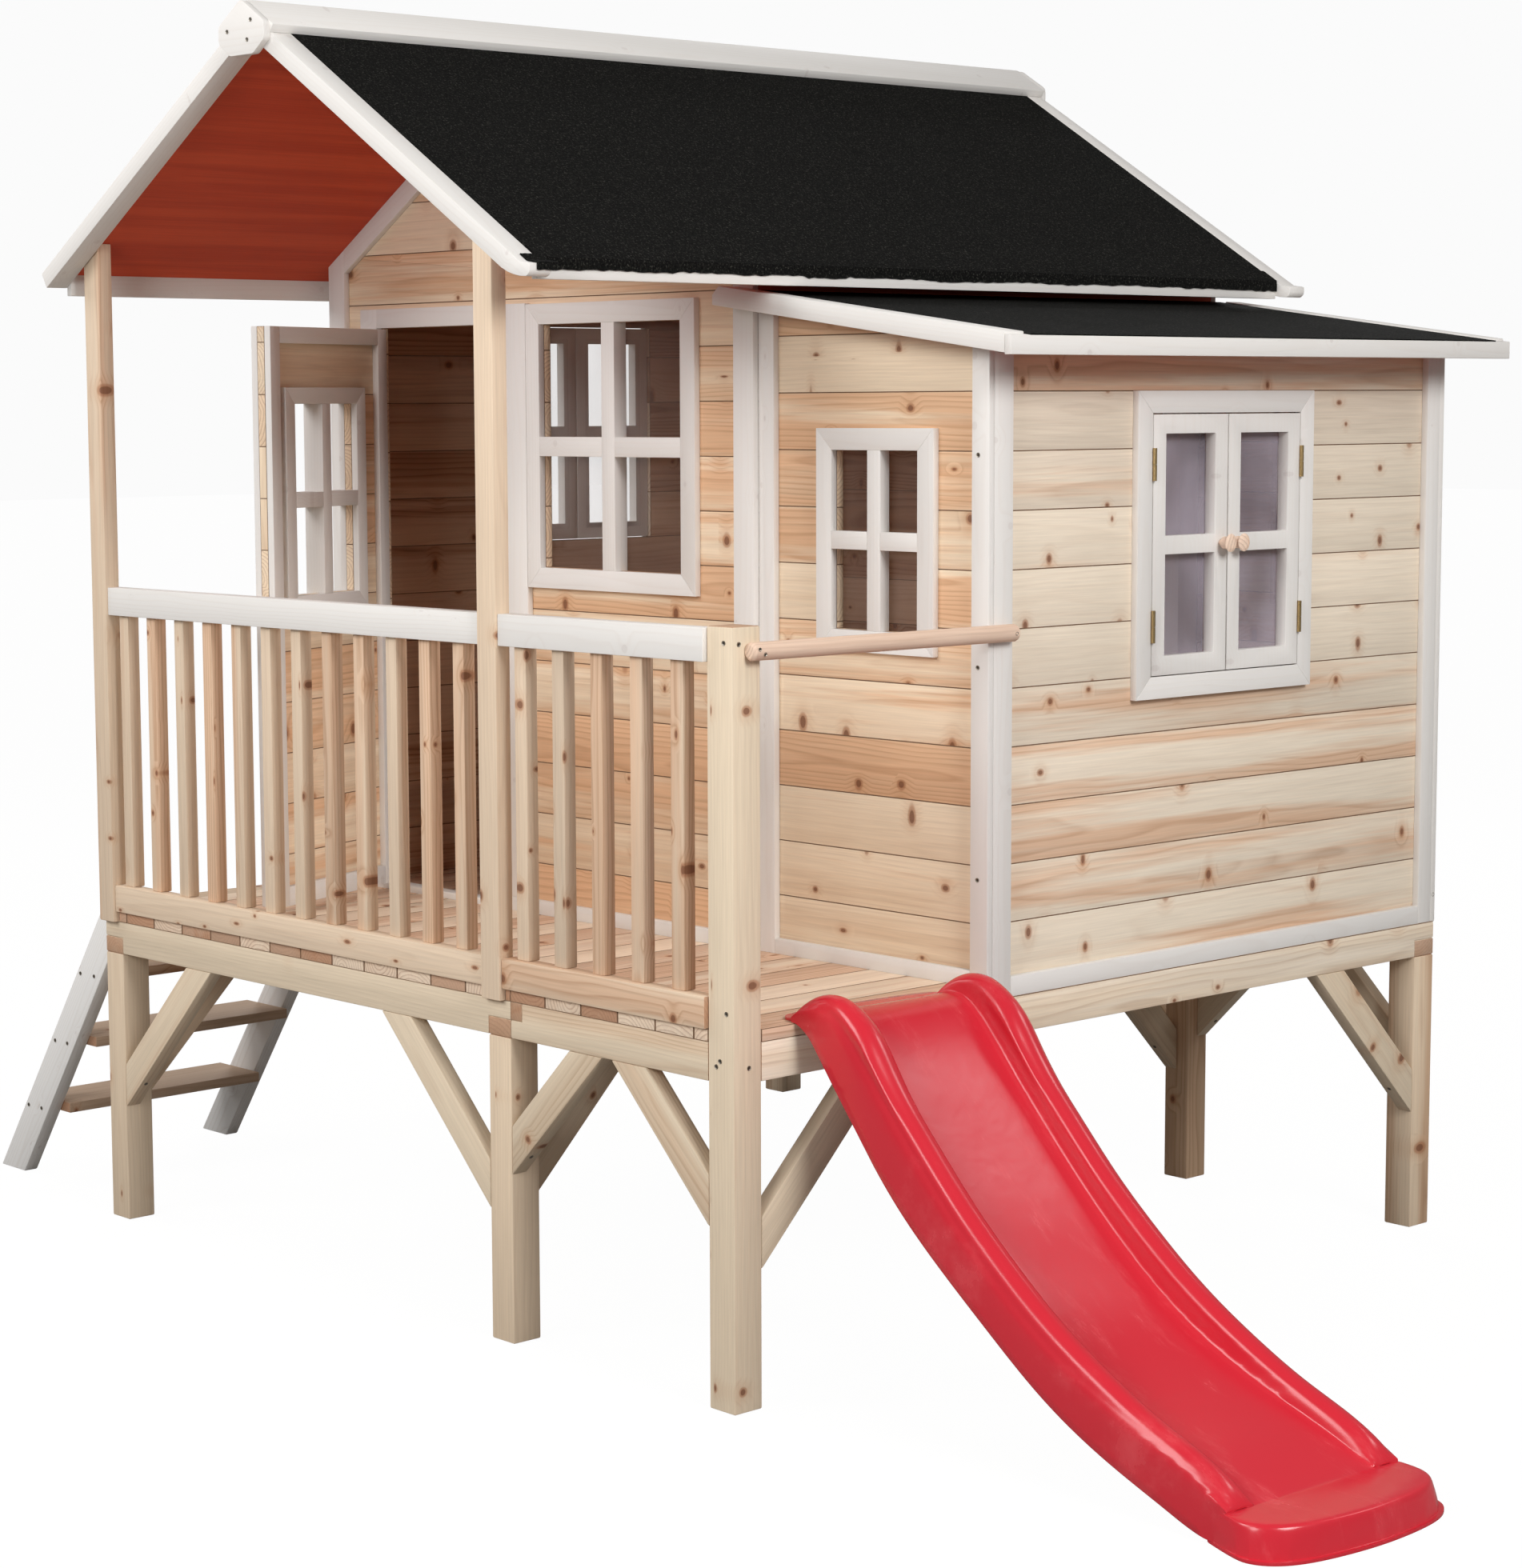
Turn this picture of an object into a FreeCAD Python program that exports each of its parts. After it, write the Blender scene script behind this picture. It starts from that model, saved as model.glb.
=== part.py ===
import FreeCAD, Part
import math
import os

V = FreeCAD.Vector

# Platform timber
LEG = 57.0
LEG_HEIGHT = 507.0
BEAM_DEPTH = 60.0
DECK = 20.0
MAIN_WIDTH = 1206.0
ANNEX_WIDTH = 529.0
PLATFORM_DEPTH = 1760.0
ANNEX_SIDE_BEAM = 28.0
CORNER_POST_RISE = 608.0
JOIST = 45.0
JOIST_SHARES = (0.34, 0.67)
MAIN_BOARD_PITCH = 92.4
FIRST_BOARD = 74.0
ANNEX_BOARD_COUNT = 6
DECK_GAP = 1.5
BRACE = 57.0
BRACE_THICK = 30.0
BRACE_ANGLE = 45.0
BRACE_REACH = 290.0
SHORT_BRACE_REACH = 225.0

# Porch rail
PORCH_POST = 48.0
PORCH_POST_THICK = 30.0
PORCH_POST_PROUD = 12.0
LEFT_POST_INSET = -1.0
MIDDLE_POST_INSET = 4.0
RAIL_PROUD = 8.0
RAIL_THICK = 30.0
BOTTOM_RAIL = 50.0
TOP_RAIL = 51.0
TOP_RAIL_RISE = 554.0
BALUSTER = 29.0
BALUSTER_THICK = 24.0
BALUSTER_INSET = 10.0
MAIN_BALUSTERS = 12
MAIN_GAP_SHARE = 0.02
MAIN_PITCH_SHARE = 0.08233
SIDE_BALUSTERS = 5
SIDE_GAP_SHARE = 0.0598
SIDE_PITCH_SHARE = 0.19175
GRAB_BAR = 28.0
GRAB_BAR_RISE = 571.0
GRAB_BAR_FLAT = 3.0
GRAB_BAR_ROUND = 4.0
GRAB_BAR_START = 24.0
GRAB_BAR_LAP = 52.0

# Ladder
LADDER_RUN = 415.0
STRINGER = 72.0
STRINGER_THICK = 30.0
LADDER_INSET = 9.0
LADDER_NARROWER = 26.0
TREAD = 20.0
TREAD_DEPTH = 142.0
TREAD_PROUD = 20.0
TREAD_SHARES = (0.2623, 0.5128, 0.7632)
LADDER_TOP_GAP = 17.0
LADDER_CLEAT = 57.0
LADDER_CLEAT_DEPTH = 45.0

# Walls
TRIM = 13.0
BOARD = 16.0
PORCH_DEPTH = 540.0
ANNEX_STEP = 12.0
BOARD_PITCH = 94.0
ANNEX_BOARD_PITCH = 94.7
ANNEX_FIRST_COURSE = 100.7
SLIVER = 1.0
CORNER_TRIM = 50.0
ANNEX_CORNER_TRIM = 37.0
SIDE_CORNER_TRIM = 57.0
BASE_TRIM = 26.0
GABLE_TRIM = 38.0
PARTITION_POST = 57.0
THRESHOLD = 13.0

# Windows
WINDOW_WIDTH_SHARE = 0.3781
WINDOW_HEIGHT_SHARE = 0.4261
CASING = 37.0
WINDOW_X_SHARE = 0.6882
WINDOW_Z_SHARE = 0.7147
WINDOW_BAR = 35.0
SMALL_WIDTH_SHARE = 0.5085
SMALL_HEIGHT_SHARE = 0.3552
SMALL_CASING = 36.0
SMALL_X_SHARE = 0.517
SMALL_Z_SHARE = 0.6863
SMALL_BAR = 30.0
SMALL_BAR_DEPTH = 22.0
PANE = 2.0
PANE_LAP = 10.0

# Opening casements
CASEMENT_WIDTH_SHARE = 0.3866
CASEMENT_HEIGHT_SHARE = 0.4942
CASEMENT_GAP = 2.0
CASEMENT_MEETING_GAP = 3.0
SASH_MEMBER = 32.0
SASH_THICK = 22.0
SASH_BAR = 31.0
ANNEX_CASEMENT_Y_SHARE = 0.4917
ANNEX_CASEMENT_Z_SHARE = 0.6733
LEFT_CASEMENT_Y_SHARE = 0.5
LEFT_CASEMENT_Z_SHARE = 0.7276
KNOB = 21.0
KNOB_NECK = 11.0
KNOB_NECK_REACH = 7.0
KNOB_REACH = 24.0
SASH_HINGE_LENGTH = 54.0
SASH_HINGE_SHARE = 0.19
SASH_KNUCKLE = 3.5
SASH_PIN = 1.6
PIN_CLEARANCE = 0.05
KNUCKLE_GAP = 0.6
SASH_HINGE_LEAF = 17.0
SASH_LEAF_GAP = 0.4

# Door
DOOR_X_SHARE = 0.12604
DOOR_WIDTH_SHARE = 0.32504
DOOR_TOP_SHARE = 0.8995
DOOR_CASING_LEFT = 51.0
DOOR_CASING_RIGHT = 57.0
DOOR_CASING_TOP = 36.0
DOOR_SIDE_GAP = 2.0
DOOR_FREE_GAP = 6.0
DOOR_TOP_GAP = 3.0
DOOR_BOTTOM_GAP = 4.0
DOOR_PROUD = 3.0
DOOR_FRAME = 30.0
DOOR_BOTTOM_RAIL = 36.0
DOOR_WINDOW_INSET = 45.0
DOOR_WINDOW_RIGHT_INSET = 76.0
DOOR_WINDOW_TOP_SHARE = 0.8965
DOOR_WINDOW_BOTTOM_SHARE = 0.5089
DOOR_WINDOW_CASING = 30.0
DOOR_WINDOW_BAR = 28.0
DOOR_OPEN_ANGLE = 70.0
DOOR_AXIS_SIDE = 11.0
DOOR_AXIS_FRONT = 8.0
DOOR_KNUCKLE = 5.0
DOOR_PIN = 2.5
DOOR_HINGE_LENGTH = 75.0
DOOR_HINGE_LEAF = 27.0
DOOR_HINGE_PLATE = 2.0
DOOR_HINGE_SHARES = (0.12, 0.88)

# Main roof
RIDGE_RISE = 1575.0
ROOF_ANGLE = 31.6
ROOF_PANEL = 16.0
BARGE = 31.0
BARGE_THICK = 44.0
BARGE_DROP = 13.0
BARGE_FRONT = 58.0
BACK_OVERHANG = 95.0
LEFT_OVERHANG = 56.0
RIGHT_OVERHANG = 69.0
BARGE_TAIL = 69.0
BARGE_TAIL_DROP = 15.0
BARGE_TAIL_TIP = 20.0
BARGE_SHOULDER_SHARE = 0.66
BARGE_BEND_SHARE = 0.25
BARGE_NOSE_SHARE = 0.17
EAVE_FASCIA = 14.0
LEFT_FASCIA_HEIGHT = 48.0
RIGHT_FASCIA_HEIGHT = 30.0
RIDGE_CAP = 79.0
RIDGE_CAP_THICK = 16.0
RIDGE_PLATE_THICK = 14.0
RIDGE_PLATE_HALF = 67.0
RIDGE_PLATE_BOTTOM = 93.0
RIDGE_PLATE_FILLET = 14.0
UPRIGHT_SHARE = 0.9

# Annex roof
ANNEX_BARGE_START = 53.0
ANNEX_BARGE_BELOW = 103.0
ANNEX_FALL_SHARE = 0.135
ANNEX_BARGE = 33.0
ANNEX_OVERHANG = 84.0
ANNEX_FRONT_OVERHANG = 45.0
ANNEX_BACK_OVERHANG = 57.0
ANNEX_BARGE_CHAMFER = 16.0
ANNEX_FASCIA_HEIGHT = 30.0

# Slide
SLIDE_SKEW = -3.2
SLIDE_PLACE_SHARE = 0.495
SLIDE_EDGE_GAP = 2.0
SLIDE_HALF = 177.0
SLIDE_BED_HALF = 112.0
SLIDE_FLANK = 14.0
SLIDE_LEDGE = 6.0
SLIDE_LEDGE_SHARE = 0.3
SLIDE_SHOULDER_SHARE = 0.5
SLIDE_COVE_SHARE = 0.7
SLIDE_COVE_RISE_SHARE = 0.12
SLIDE_CROWN_POINTS = 7
SLIDE_UNDER_POINTS = 5
SLIDE_STEP_SHARE = 0.048
SLIDE_RAIL = 86.0
SLIDE_SKIRT = 84.0
SLIDE_WALL = 5.0
SLIDE_FLANGE = 52.0
SLIDE_FLANGE_HALF = 170.0
SLIDE_FLANGE_THICK = 5.0
SLIDE_LENGTH = 1008.0
SLIDE_LIP_HALF = 197.0
SLIDE_LIP_HEIGHT = 50.0
SLIDE_LIP = 158.0
SLIDE_LIP_SHARES = ((0.53, 1.0), (0.40, 0.985), (0.27, 0.93), (0.15, 0.80), (0.07, 0.60),
                    (0.02, 0.30), (0.0, 0.0))
SLIDE_LIP_TAPER = 12.0
SLIDE_LIP_FILLET = 8.0

OVERRUN = 10.0

left = -LEG
main_right = left + MAIN_WIDTH
right = main_right + ANNEX_WIDTH
back = PLATFORM_DEPTH
beam_z = LEG_HEIGHT
beam_top = beam_z + BEAM_DEPTH
deck_top = beam_top + DECK
ridge_x = left + MAIN_WIDTH / 2
ridge_z = deck_top + RIDGE_RISE
top_rail_z = deck_top + TOP_RAIL_RISE
front_wall = PORCH_DEPTH
annex_wall = PORCH_DEPTH + ANNEX_STEP
fall = math.tan(math.radians(ROOF_ANGLE))
lift = 1 / math.cos(math.radians(ROOF_ANGLE))
annex_lift = math.sqrt(1 + ANNEX_FALL_SHARE ** 2)
felt_thick = BARGE - BARGE_DROP - ROOF_PANEL
left_eave = MAIN_WIDTH / 2 + LEFT_OVERHANG
right_eave = MAIN_WIDTH / 2 + RIGHT_OVERHANG
main_wall = RIDGE_RISE - fall * MAIN_WIDTH / 2
annex_drop = ANNEX_FALL_SHARE * (ANNEX_BARGE_START + ANNEX_WIDTH)
annex_tall = main_wall - ANNEX_BARGE_BELOW - annex_drop + BARGE_DROP * annex_lift
casement_width = CASEMENT_WIDTH_SHARE * (back - annex_wall)
casement_height = CASEMENT_HEIGHT_SHARE * annex_tall
annex_casement = (annex_wall + (back - annex_wall) * ANNEX_CASEMENT_Y_SHARE,
                  deck_top + annex_tall * ANNEX_CASEMENT_Z_SHARE)
side_casement = (front_wall + (back - front_wall) * LEFT_CASEMENT_Y_SHARE,
                 deck_top + main_wall * LEFT_CASEMENT_Z_SHARE)
slide_y = LEG + (annex_wall - LEG) * SLIDE_PLACE_SHARE

nodes = {}


def keep(name, shapes):
    nodes.setdefault(name, []).extend(shapes)


def box(x0, x1, y0, y1, z0, z1):
    return Part.makeBox(x1 - x0, y1 - y0, z1 - z0, V(x0, y0, z0))


def face_of(points):
    return Part.Face(Part.makePolygon(points + points[:1]))


def prism_y(outline, y0, y1):
    face = face_of([V(x, y0, z) for x, z in outline])
    return face.extrude(V(0, y1 - y0, 0))


def prism_x(outline, x0, x1):
    face = face_of([V(x0, y, z) for y, z in outline])
    return face.extrude(V(x1 - x0, 0, 0))


def prism_z(outline, z0, z1):
    face = face_of([V(x, y, z0) for x, y in outline])
    return face.extrude(V(0, 0, z1 - z0))


def solids(shape):
    kept = []
    for s in shape.Solids:
        b = s.BoundBox
        if min(b.XLength, b.YLength, b.ZLength) > SLIVER:
            kept.append(s)
    return kept


# The soffit of the main roof, as the height above each x.
def soffit_z(x):
    return ridge_z - abs(x - ridge_x) * fall


# The lower edge of the annex barge timber, and the soffit above it.
def annex_barge_z(x):
    start = soffit_z(main_right) - ANNEX_BARGE_BELOW
    return start - (x - main_right + ANNEX_BARGE_START) * ANNEX_FALL_SHARE


def annex_soffit_z(x):
    return annex_barge_z(x) + BARGE_DROP * annex_lift


# Legs stand on the ground; the front right one carries on up as the rail's corner post.
def make_legs():
    xs = (left, main_right - LEG, right - LEG)
    stood = [box(x, x + LEG, 0, LEG, 0, beam_z) for x in xs[:2]]
    stood += [box(x, x + LEG, back - LEG, back, 0, beam_z) for x in xs]
    keep("legs", stood)
    keep("corner_post", [box(xs[2], right, 0, LEG, 0, deck_top + CORNER_POST_RISE)])


# Half-lapped beam frames: the long beams keep their upper half at the corners.
def make_beams():
    half = beam_z + BEAM_DEPTH / 2
    inner = main_right - LEG
    frame = []
    for y in (0, back - LEG):
        beam = box(left, main_right, y, y + LEG, beam_z, beam_top)
        for x in (left, inner):
            beam = beam.cut(box(x, x + LEG, y, y + LEG, beam_z, half))
        frame.append(beam)
    for x in (left, inner):
        low = box(x, x + LEG, 0, back, beam_z, beam_top)
        for y in (0, back - LEG):
            low = low.cut(box(x, x + LEG, y, y + LEG, half, beam_top))
        frame.append(low)
    keep("main_beams", frame)
    near = main_right + ANNEX_SIDE_BEAM
    post = right - LEG
    front_beam = box(main_right, post, 0, LEG, beam_z, beam_top)
    front_beam = front_beam.cut(box(main_right, near, 0, LEG, half, beam_top))
    back_beam = box(main_right, right, back - LEG, back, beam_z, beam_top)
    back_beam = back_beam.cut(box(main_right, near, back - LEG, back, half, beam_top))
    back_beam = back_beam.cut(box(post, right, back - LEG, back, half, beam_top))
    inner_beam = box(main_right, near, 0, back, beam_z, beam_top)
    for y in (0, back - LEG):
        inner_beam = inner_beam.cut(box(main_right, near, y, y + LEG, beam_z, half))
    side_beam = box(post, right, LEG, back, beam_z, beam_top)
    side_beam = side_beam.cut(box(post, right, back - LEG, back, beam_z, half))
    keep("annex_beams", [front_beam, back_beam, inner_beam, side_beam])
    joists = []
    for share in JOIST_SHARES:
        y = back * share
        joists.append(box(0, inner, y, y + JOIST, beam_z, beam_top))
        joists.append(box(near, post, y, y + JOIST, beam_z, beam_top))
    keep("deck_joists", joists)


# A brace runs at 45 degrees from the side of a leg to the underside of a beam.
def brace_outline(start, way, reach):
    wide = BRACE / math.cos(math.radians(BRACE_ANGLE))
    low = beam_z - reach
    return [(start, low), (start, low + wide),
            (start + way * (reach - wide), beam_z), (start + way * reach, beam_z)]


def make_braces():
    faces = ((0, BRACE_THICK), (back - BRACE_THICK, back))
    spans = ((0, 1, BRACE_REACH), (main_right - LEG, -1, BRACE_REACH),
             (main_right, 1, SHORT_BRACE_REACH), (right - LEG, -1, SHORT_BRACE_REACH))
    for y0, y1 in faces:
        keep("braces", [prism_y(brace_outline(*span), y0, y1) for span in spans])
    side = []
    planes = (left, main_right - LEG, right - BRACE_THICK)
    for x in planes:
        for start, way in ((LEG, 1), (back - LEG, -1)):
            outline = brace_outline(start, way, BRACE_REACH)
            side.append(prism_x(outline, x, x + BRACE_THICK))
    keep("braces", side)


# Deck boards run front to back, notched round the porch posts and the corner post.
def make_deck():
    boards = []
    x = left
    end = left + FIRST_BOARD
    while x < main_right:
        stop = min(end, main_right)
        boards.append(box(x, stop - DECK_GAP, 0, back, beam_top, deck_top))
        x = end
        end = x + MAIN_BOARD_PITCH
    boards[-1] = box(x - MAIN_BOARD_PITCH, main_right, 0, back, beam_top, deck_top)
    cut = [b.cut(c) for b in boards for c in [porch_post_notches()]]
    keep("deck_boards", [s for b in cut for s in solids(b)])
    pitch = ANNEX_WIDTH / ANNEX_BOARD_COUNT
    annex = []
    notch = box(right - LEG, right, 0, LEG, beam_top, deck_top)
    for i in range(ANNEX_BOARD_COUNT):
        x = main_right + i * pitch
        stop = x + pitch - DECK_GAP
        if i == ANNEX_BOARD_COUNT - 1:
            stop = right
        board = box(x, stop, 0, back, beam_top, deck_top)
        annex += solids(board.cut(notch))
    keep("deck_boards", annex)


def porch_post_x():
    first = left + LEFT_POST_INSET
    second = main_right - LEG - MIDDLE_POST_INSET
    return first, second


def porch_post_notches():
    depth = PORCH_POST_THICK - PORCH_POST_PROUD
    cuts = [box(x, x + PORCH_POST, 0, depth, beam_top, deck_top) for x in porch_post_x()]
    return Part.makeCompound(cuts)


# Porch posts stand on the front beam and are cut to the slope under the roof panel.
def make_porch_posts():
    posts = []
    y0 = -PORCH_POST_PROUD
    for x in porch_post_x():
        tops = [(x + PORCH_POST, soffit_z(x + PORCH_POST)), (x, soffit_z(x))]
        outline = [(x, beam_top), (x + PORCH_POST, beam_top)] + tops
        posts.append(prism_y(outline, y0, y0 + PORCH_POST_THICK))
    keep("porch_posts", posts)


def make_rails():
    first, second = porch_post_x()
    bays = ((first + PORCH_POST, second), (second + PORCH_POST, right - LEG))
    y0 = -RAIL_PROUD
    y1 = y0 + RAIL_THICK
    rail_top = deck_top + BOTTOM_RAIL
    top = top_rail_z + TOP_RAIL
    keep("bottom_rails", [box(a, b, y0, y1, deck_top, rail_top) for a, b in bays])
    keep("top_rails", [box(a, b, y0, y1, top_rail_z, top) for a, b in bays])
    y2 = y0 + BALUSTER_INSET
    y3 = y2 + BALUSTER_THICK

    def row(bay, count, gap, pitch):
        wide = bay[1] - bay[0]
        xs = [bay[0] + wide * (gap + i * pitch) for i in range(count)]
        return [box(x, x + BALUSTER, y2, y3, rail_top, top_rail_z) for x in xs]

    keep("balusters", row(bays[0], MAIN_BALUSTERS, MAIN_GAP_SHARE, MAIN_PITCH_SHARE))
    keep("balusters", row(bays[1], SIDE_BALUSTERS, SIDE_GAP_SHARE, SIDE_PITCH_SHARE))


# A turned bar with its back flattened lies on the corner post and the annex corner.
def make_grab_bar():
    radius = GRAB_BAR / 2
    x = right + radius - GRAB_BAR_FLAT
    z = deck_top + GRAB_BAR_RISE
    end = annex_wall + GRAB_BAR_LAP
    bar = Part.makeCylinder(radius, end - GRAB_BAR_START, V(x, GRAB_BAR_START, z), V(0, 1, 0))
    rims = [e for e in bar.Edges if e.isClosed()]
    bar = bar.makeChamfer(GRAB_BAR_ROUND, rims)
    flat = box(right - GRAB_BAR, right, 0, end + OVERRUN, z - GRAB_BAR, z + GRAB_BAR)
    keep("grab_bar", [bar.cut(flat)])


# Ladder: two raked stringers cut level at foot and head, and three treads between them.
def make_ladder():
    slope = (deck_top / LADDER_RUN)
    level = STRINGER * math.sqrt(1 + slope ** 2) / slope
    head = left - LADDER_TOP_GAP
    foot = head - LADDER_RUN
    outline = [(foot - level, 0), (foot, 0), (head, deck_top), (head - level, deck_top)]
    y0 = LEG + LADDER_INSET
    y1 = y0 + PORCH_DEPTH - LADDER_NARROWER
    rails = [prism_y(outline, y0, y0 + STRINGER_THICK),
             prism_y(outline, y1 - STRINGER_THICK, y1)]
    keep("ladder_stringers", rails)
    treads = []
    for share in TREAD_SHARES:
        z = deck_top * share
        nose = foot + z / slope + TREAD_PROUD
        treads.append(box(nose - TREAD_DEPTH, nose, y0 + STRINGER_THICK, y1 - STRINGER_THICK,
                          z - TREAD, z))
    keep("ladder_treads", treads)
    cleat = box(left - LADDER_CLEAT, left, y0 + STRINGER_THICK, y1 - STRINGER_THICK,
                deck_top - LADDER_CLEAT_DEPTH, deck_top)
    keep("ladder_cleat", [cleat])


# One wall's courses of boards, cut round its openings and clipped under its roof.
def courses(along, plane, start, end, seams, openings, roof):
    made = []
    for z, top in zip(seams, seams[1:]):
        if along == "x":
            board = box(start, end, plane, plane + BOARD, z, top)
        else:
            board = box(plane, plane + BOARD, start, end, z, top)
        for a, b, c, d in openings:
            if c < top and d > z:
                if along == "x":
                    hole = box(a, b, plane - OVERRUN, plane + BOARD + OVERRUN, c, d)
                else:
                    hole = box(plane - OVERRUN, plane + BOARD + OVERRUN, a, b, c, d)
                board = board.cut(hole)
        if roof is not None and roof.BoundBox.ZMin < top:
            board = board.cut(roof)
        made += solids(board)
    return made


def seams_between(low, high, first, pitch):
    levels = [low]
    z = low + first
    while z < high:
        levels.append(z)
        z = z + pitch
    return levels + [high]


def above_main_soffit():
    edge = left - left_eave
    far = right + ANNEX_WIDTH
    high = ridge_z + ridge_z
    outline = [(edge, soffit_z(edge)), (ridge_x, ridge_z), (far, soffit_z(far)),
               (far, high), (edge, high)]
    return prism_y(outline, -back, back + back)


def above_annex_soffit():
    far = right + ANNEX_WIDTH
    high = ridge_z
    outline = [(left, annex_soffit_z(left)), (far, annex_soffit_z(far)), (far, high),
               (left, high)]
    return prism_y(outline, -back, back + back)


def window_hole(centre, z, width, height, casing):
    a = centre - width / 2 + casing
    b = centre + width / 2 - casing
    return (a, b, z - height / 2 + casing, z + height / 2 - casing)


def big_window():
    return window_hole(left + MAIN_WIDTH * WINDOW_X_SHARE, deck_top + main_wall * WINDOW_Z_SHARE,
                       MAIN_WIDTH * WINDOW_WIDTH_SHARE, main_wall * WINDOW_HEIGHT_SHARE, CASING)


def small_window():
    return window_hole(main_right + ANNEX_WIDTH * SMALL_X_SHARE,
                       deck_top + annex_tall * SMALL_Z_SHARE, ANNEX_WIDTH * SMALL_WIDTH_SHARE,
                       annex_tall * SMALL_HEIGHT_SHARE, SMALL_CASING)


def door_hole():
    start = left + MAIN_WIDTH * DOOR_X_SHARE
    end = start + MAIN_WIDTH * DOOR_WIDTH_SHARE
    return (start, end, deck_top, deck_top + main_wall * DOOR_TOP_SHARE)


def casement_hole(centre, z):
    return window_hole(centre, z, casement_width, casement_height, CASING)


def make_walls():
    main_roof = above_main_soffit()
    annex_roof = above_annex_soffit()
    big = big_window()
    small = small_window()
    main = seams_between(deck_top, ridge_z, BOARD_PITCH, BOARD_PITCH)
    annex_top = annex_soffit_z(main_right)
    annex = seams_between(deck_top, annex_top, ANNEX_FIRST_COURSE, ANNEX_BOARD_PITCH)
    y0 = front_wall + TRIM
    inner = left + TRIM + BOARD
    stop = main_right - TRIM
    front = courses("x", y0, inner, stop, main, [door_hole(), big], main_roof)
    keep("front_wall_boards", front)
    y1 = back - TRIM - BOARD
    keep("back_wall_boards", courses("x", y1, inner, stop, main, [], main_roof))
    casement = casement_hole(*side_casement)
    side_wall = courses("y", left + TRIM, y0, back - TRIM, main, [casement], main_roof)
    keep("left_wall_boards", side_wall)
    below = (0, back, deck_top, annex_top)
    upper = courses("y", stop - BOARD, y0 + BOARD, y1, main, [below], main_roof)
    keep("upper_wall_boards", upper)
    ya = annex_wall + TRIM
    side = right - TRIM - BOARD
    for y in (ya, y1):
        keep("annex_wall_boards", courses("x", y, main_right, side, annex, [small], annex_roof))
    hole = casement_hole(*annex_casement)
    keep("annex_wall_boards", courses("y", side, ya, back - TRIM, annex, [hole], annex_roof))


# White corner, base and gable strips on the outside of the walls.
def make_trims():
    roof = above_main_soffit()
    annex = above_annex_soffit()
    high = ridge_z
    front = front_wall
    rear = back - TRIM
    base = deck_top + BASE_TRIM
    inset = left + TRIM
    corners = [
        box(left, left + CORNER_TRIM, front, front + TRIM, deck_top, high),
        box(main_right - CORNER_TRIM, main_right, front, front + TRIM, deck_top, high),
        box(left, left + CORNER_TRIM, rear, back, deck_top, high),
        box(main_right - CORNER_TRIM, main_right, rear, back, deck_top, high),
        box(left, inset, front + TRIM, front + CORNER_TRIM, deck_top, high),
        box(left, inset, back - CORNER_TRIM, rear, deck_top, high),
    ]
    keep("corner_trims", [s for c in corners for s in solids(c.cut(roof))])
    ax = annex_wall
    sx = right - TRIM
    wide = SIDE_CORNER_TRIM
    corners = [
        box(main_right, main_right + ANNEX_CORNER_TRIM, ax, ax + TRIM, deck_top, high),
        box(right - ANNEX_CORNER_TRIM, right, ax, ax + TRIM, deck_top, high),
        box(main_right, main_right + ANNEX_CORNER_TRIM, rear, back, deck_top, high),
        box(right - ANNEX_CORNER_TRIM, right, rear, back, deck_top, high),
        box(sx, right, ax + TRIM, ax + wide, deck_top, high),
        box(sx, right, back - CORNER_TRIM, rear, deck_top, high),
    ]
    keep("corner_trims", [s for c in corners for s in solids(c.cut(annex))])
    d0, d1, _, _ = door_hole()
    a = left + CORNER_TRIM
    b = main_right - CORNER_TRIM
    c = main_right + ANNEX_CORNER_TRIM
    d = right - ANNEX_CORNER_TRIM
    strips = [
        box(a, d0, front, front + TRIM, deck_top, base),
        box(d1, b, front, front + TRIM, deck_top, base),
        box(c, d, ax, ax + TRIM, deck_top, base),
        box(a, b, rear, back, deck_top, base),
        box(c, d, rear, back, deck_top, base),
        box(left, inset, front + CORNER_TRIM, back - CORNER_TRIM, deck_top, base),
        box(sx, right, ax + wide, back - CORNER_TRIM, deck_top, base),
    ]
    strips.append(box(d0, d1, front, front + TRIM + BOARD, deck_top, deck_top + THRESHOLD))
    keep("base_trims", strips)
    gable = []
    drop = GABLE_TRIM * lift
    for y in (front, rear):
        for corner in (left + CORNER_TRIM, main_right - CORNER_TRIM):
            outline = [(corner, soffit_z(corner)), (ridge_x, ridge_z),
                       (ridge_x, ridge_z - drop), (corner, soffit_z(corner) - drop)]
            gable.append(prism_y(outline, y, y + TRIM))
    keep("gable_trims", gable)


# Inner corner posts carry the roof where the two rooms open into each other.
def make_partition_posts():
    roof = above_main_soffit()
    ceiling = annex_soffit_z(main_right)
    y1 = back - TRIM - BOARD
    post = PARTITION_POST
    front = front_wall + TRIM + BOARD
    stop = main_right - TRIM
    side = box(main_right - post, stop, front, front + post, deck_top, ceiling)
    far = box(main_right - post, stop, y1 - post, y1, deck_top, ceiling)
    head = box(stop - BOARD - BOARD, stop - BOARD, front + post, y1 - post, ceiling - post, ceiling)
    keep("partition_frame", [side, far, head.translated(V(BOARD, 0, 0))])
    top = soffit_z(main_right)
    strip = box(stop, main_right, front_wall + TRIM, back - TRIM, annex_roof_top(main_right), top)
    keep("upper_side_board", solids(strip.cut(roof)))


def annex_roof_top(x):
    return annex_soffit_z(x) + (ROOF_PANEL + felt_thick) * annex_lift


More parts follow.
